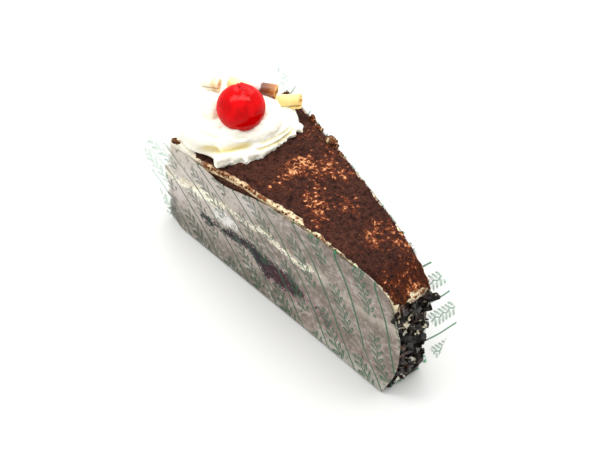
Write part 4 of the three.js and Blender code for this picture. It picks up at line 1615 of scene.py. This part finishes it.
def film_place(along, around, inward, ripple):
    """(point, number, ruling, touch) of the film, for its print and for what clings to it."""
    step = round(around * FILM_ROWS)
    right = step > FILM_ROWS / 2
    from_edge = FILM_ROWS - step if right else step
    side = 1 if right else -1
    rim_end, far_end = (right_rim_end, right_far_end) if right else (left_rim_end, left_far_end)
    edge = right_edge if right else left_edge
    share = max(0, 1 - from_edge / WALL_ROWS) ** WALL_EASE
    x = lerp(rim_end(share * WALL_HEIGHT), far_end(share * WALL_HEIGHT), along)
    foot = half_width(x) + flare(x, FOLD_RADIUS, 0, right)
    floor_width = 2 * (foot - FOLD_RADIUS)
    off = 0
    if from_edge <= WALL_ROWS:
        z = lerp(FOLD_RADIUS, edge(x), share)
        off = flare(x, z, share, right)
        free = smooth(abs(x + 1), 56, 64)
        wave = ripple * (0.5 + 0.5 * grain((x, z, side * 20), 11)) * share
        wave += free * share * (0.8 * grain((x, z, side * 9), 7) + 0.3)
        point = (x, side * (half_width(x) + off - inward + wave), z)
        drop = z - FOLD_RADIUS
    elif from_edge <= WALL_ROWS + FOLD_ROWS:
        turn = (from_edge - WALL_ROWS) / FOLD_ROWS * math.pi / 2
        reach = FOLD_RADIUS - inward
        z = FOLD_RADIUS - reach * math.sin(turn)
        point = (x, side * (foot - FOLD_RADIUS + reach * math.cos(turn)), z)
        drop = -FOLD_RADIUS * turn
    else:
        share = (from_edge - WALL_ROWS - FOLD_ROWS) / (FLOOR_ROWS / 2)
        z = inward
        point = (x, side * (foot - FOLD_RADIUS) * (1 - share), z)
        drop = -FOLD_LENGTH - share * floor_width / 2
    # From the left wall's foot the print runs on under the slice and up the right wall
    number, ruling = print_rule(x, -2 * FOLD_LENGTH - floor_width - drop if right else drop)
    juice, milk, inside = film_touch(x, z, off, right)
    if from_edge > WALL_ROWS + FOLD_ROWS or (right and from_edge > WALL_ROWS):
        inside = FLOOR_CLEAR
    return point, number, ruling, (juice, milk, inside)


class CAKE_OT_film(bpy.types.Operator):
    """Folds the clear printed film round the slice"""

    bl_idname = "cake_slice.film"
    bl_label = "Clear Film"

    def execute(self, context):
        settings = context.scene.cake_slice
        thickness = settings.sizes.film_thickness / MM
        ripple = settings.sizes.film_ripple / MM

        def place(x, y, z):
            return film_place(x + 0.5, y + 0.5, (z + 0.5) * thickness, ripple)

        marks = {"number": "float", "ruling": "float_vector", "touch": "float_vector"}
        bm = block(FILM_COLUMNS, FILM_ROWS, 1, place, marks)
        bmesh.ops.recalc_face_normals(bm, faces=bm.faces)
        finish_piece("printed_film", bm, film_finish(settings.colours), ["film"], crisp=0.9)
        return {"FINISHED"}


# ---------------------------------------------------------------- stage

# In metres and radians: the floor, the point that the camera aims at, and each lamp's place, size and
# tilt
FLOOR_REACH = 3
FLOOR_DROP = 0.0002
AIM = Vector((-0.02634, 0.01269, 0))
CEILING_LAMP = (Vector((-0.09, -0.03, 0.75)), (1.3, 0.32), 0)
SIDE_LAMP = (Vector((-0.55, 0.6, 0.5)), (0.9, 0.7), math.radians(-50))


class CAKE_OT_stage(bpy.types.Operator):
    """Sets the floor, the lights and the camera"""

    bl_idname = "cake_slice.stage"
    bl_label = "Stage"

    def execute(self, context):
        stage = context.scene.cake_slice.stage
        bm = bmesh.new()
        bmesh.ops.create_grid(bm, x_segments=2, y_segments=2, size=FLOOR_REACH)
        bmesh.ops.translate(bm, vec=(0, 0, -FLOOR_DROP), verts=bm.verts)
        mesh = bpy.data.meshes.new("floor")
        bm.to_mesh(mesh)
        bm.free()
        mesh.materials.append(floor_finish(stage.floor))
        floor = bpy.data.objects.new("floor", mesh)
        context.scene.collection.objects.link(floor)

        world = bpy.data.worlds.new("white_room")
        world.use_nodes = True
        sky = world.node_tree.nodes["Background"]
        sky.inputs["Color"].default_value = (1, 1, 1, 1)
        sky.inputs["Strength"].default_value = stage.sky
        context.scene.world = world
        context.scene.view_settings.view_transform = "Standard"

        turn, rise, roll = stage.azimuth, stage.elevation, stage.roll
        back = Vector(
            (math.sin(turn) * math.cos(rise), -math.cos(turn) * math.cos(rise), math.sin(rise))
        )
        level = Vector((math.cos(turn), math.sin(turn), 0))
        up = back.cross(level)
        right = level * math.cos(roll) + up * math.sin(roll)
        up = up * math.cos(roll) - level * math.sin(roll)
        camera = bpy.data.objects.new("camera", bpy.data.cameras.new("camera"))
        context.scene.collection.objects.link(camera)
        camera.data.sensor_fit = "HORIZONTAL"
        camera.data.sensor_width = 36
        camera.data.lens = stage.lens
        camera.data.clip_start = 0.01
        turned = Matrix((right, up, back)).transposed().to_4x4()
        camera.matrix_world = Matrix.Translation(AIM + back * stage.distance) @ turned
        context.scene.camera = camera

        self.lamp(context, "ceiling", stage.ceiling, turn, *CEILING_LAMP)
        self.lamp(context, "side", stage.side, turn, *SIDE_LAMP)
        return {"FINISHED"}

    def lamp(self, context, name, power, turn, spot, size, tilt):
        """A soft rectangular light that faces the slice."""
        data = bpy.data.lights.new(name, "AREA")
        data.shape = "RECTANGLE"
        data.size, data.size_y = size
        data.energy = power
        light = bpy.data.objects.new(name, data)
        light.matrix_world = (
            Matrix.Translation(spot) @ Matrix.Rotation(turn, 4, "Z") @ Matrix.Rotation(tilt, 4, "X")
        )
        context.scene.collection.objects.link(light)


# ---------------------------------------------------------------- panel and run

PIECES = [
    CAKE_OT_sponges, CAKE_OT_fillings, CAKE_OT_coat, CAKE_OT_shards, CAKE_OT_crumbs,
    CAKE_OT_rosette, CAKE_OT_cherry, CAKE_OT_curls, CAKE_OT_film, CAKE_OT_stage,
]


class CAKE_PT_panel(bpy.types.Panel):
    bl_idname = "CAKE_PT_panel"
    bl_label = "Cake Slice"
    bl_space_type = "VIEW_3D"
    bl_region_type = "UI"
    bl_category = "Cake Slice"

    def draw(self, context):
        settings = context.scene.cake_slice
        for group in (settings.sizes, settings.colours, settings.stage):
            box = self.layout.box()
            for name in group.__annotations__:
                box.prop(group, name)
        for piece in PIECES:
            self.layout.operator(piece.bl_idname)


CLASSES = [CakeSizes, CakeColours, CakeStage, CakeSettings, *PIECES, CAKE_PT_panel]


def register():
    for one in CLASSES:
        bpy.utils.register_class(one)
    bpy.types.Scene.cake_slice = bpy.props.PointerProperty(type=CakeSettings)


def unregister():
    del bpy.types.Scene.cake_slice
    for one in reversed(CLASSES):
        bpy.utils.unregister_class(one)


def main():
    register()
    for piece in PIECES:
        group, name = piece.bl_idname.split(".")
        getattr(getattr(bpy.ops, group), name)()


if __name__ == "__main__":
    main()
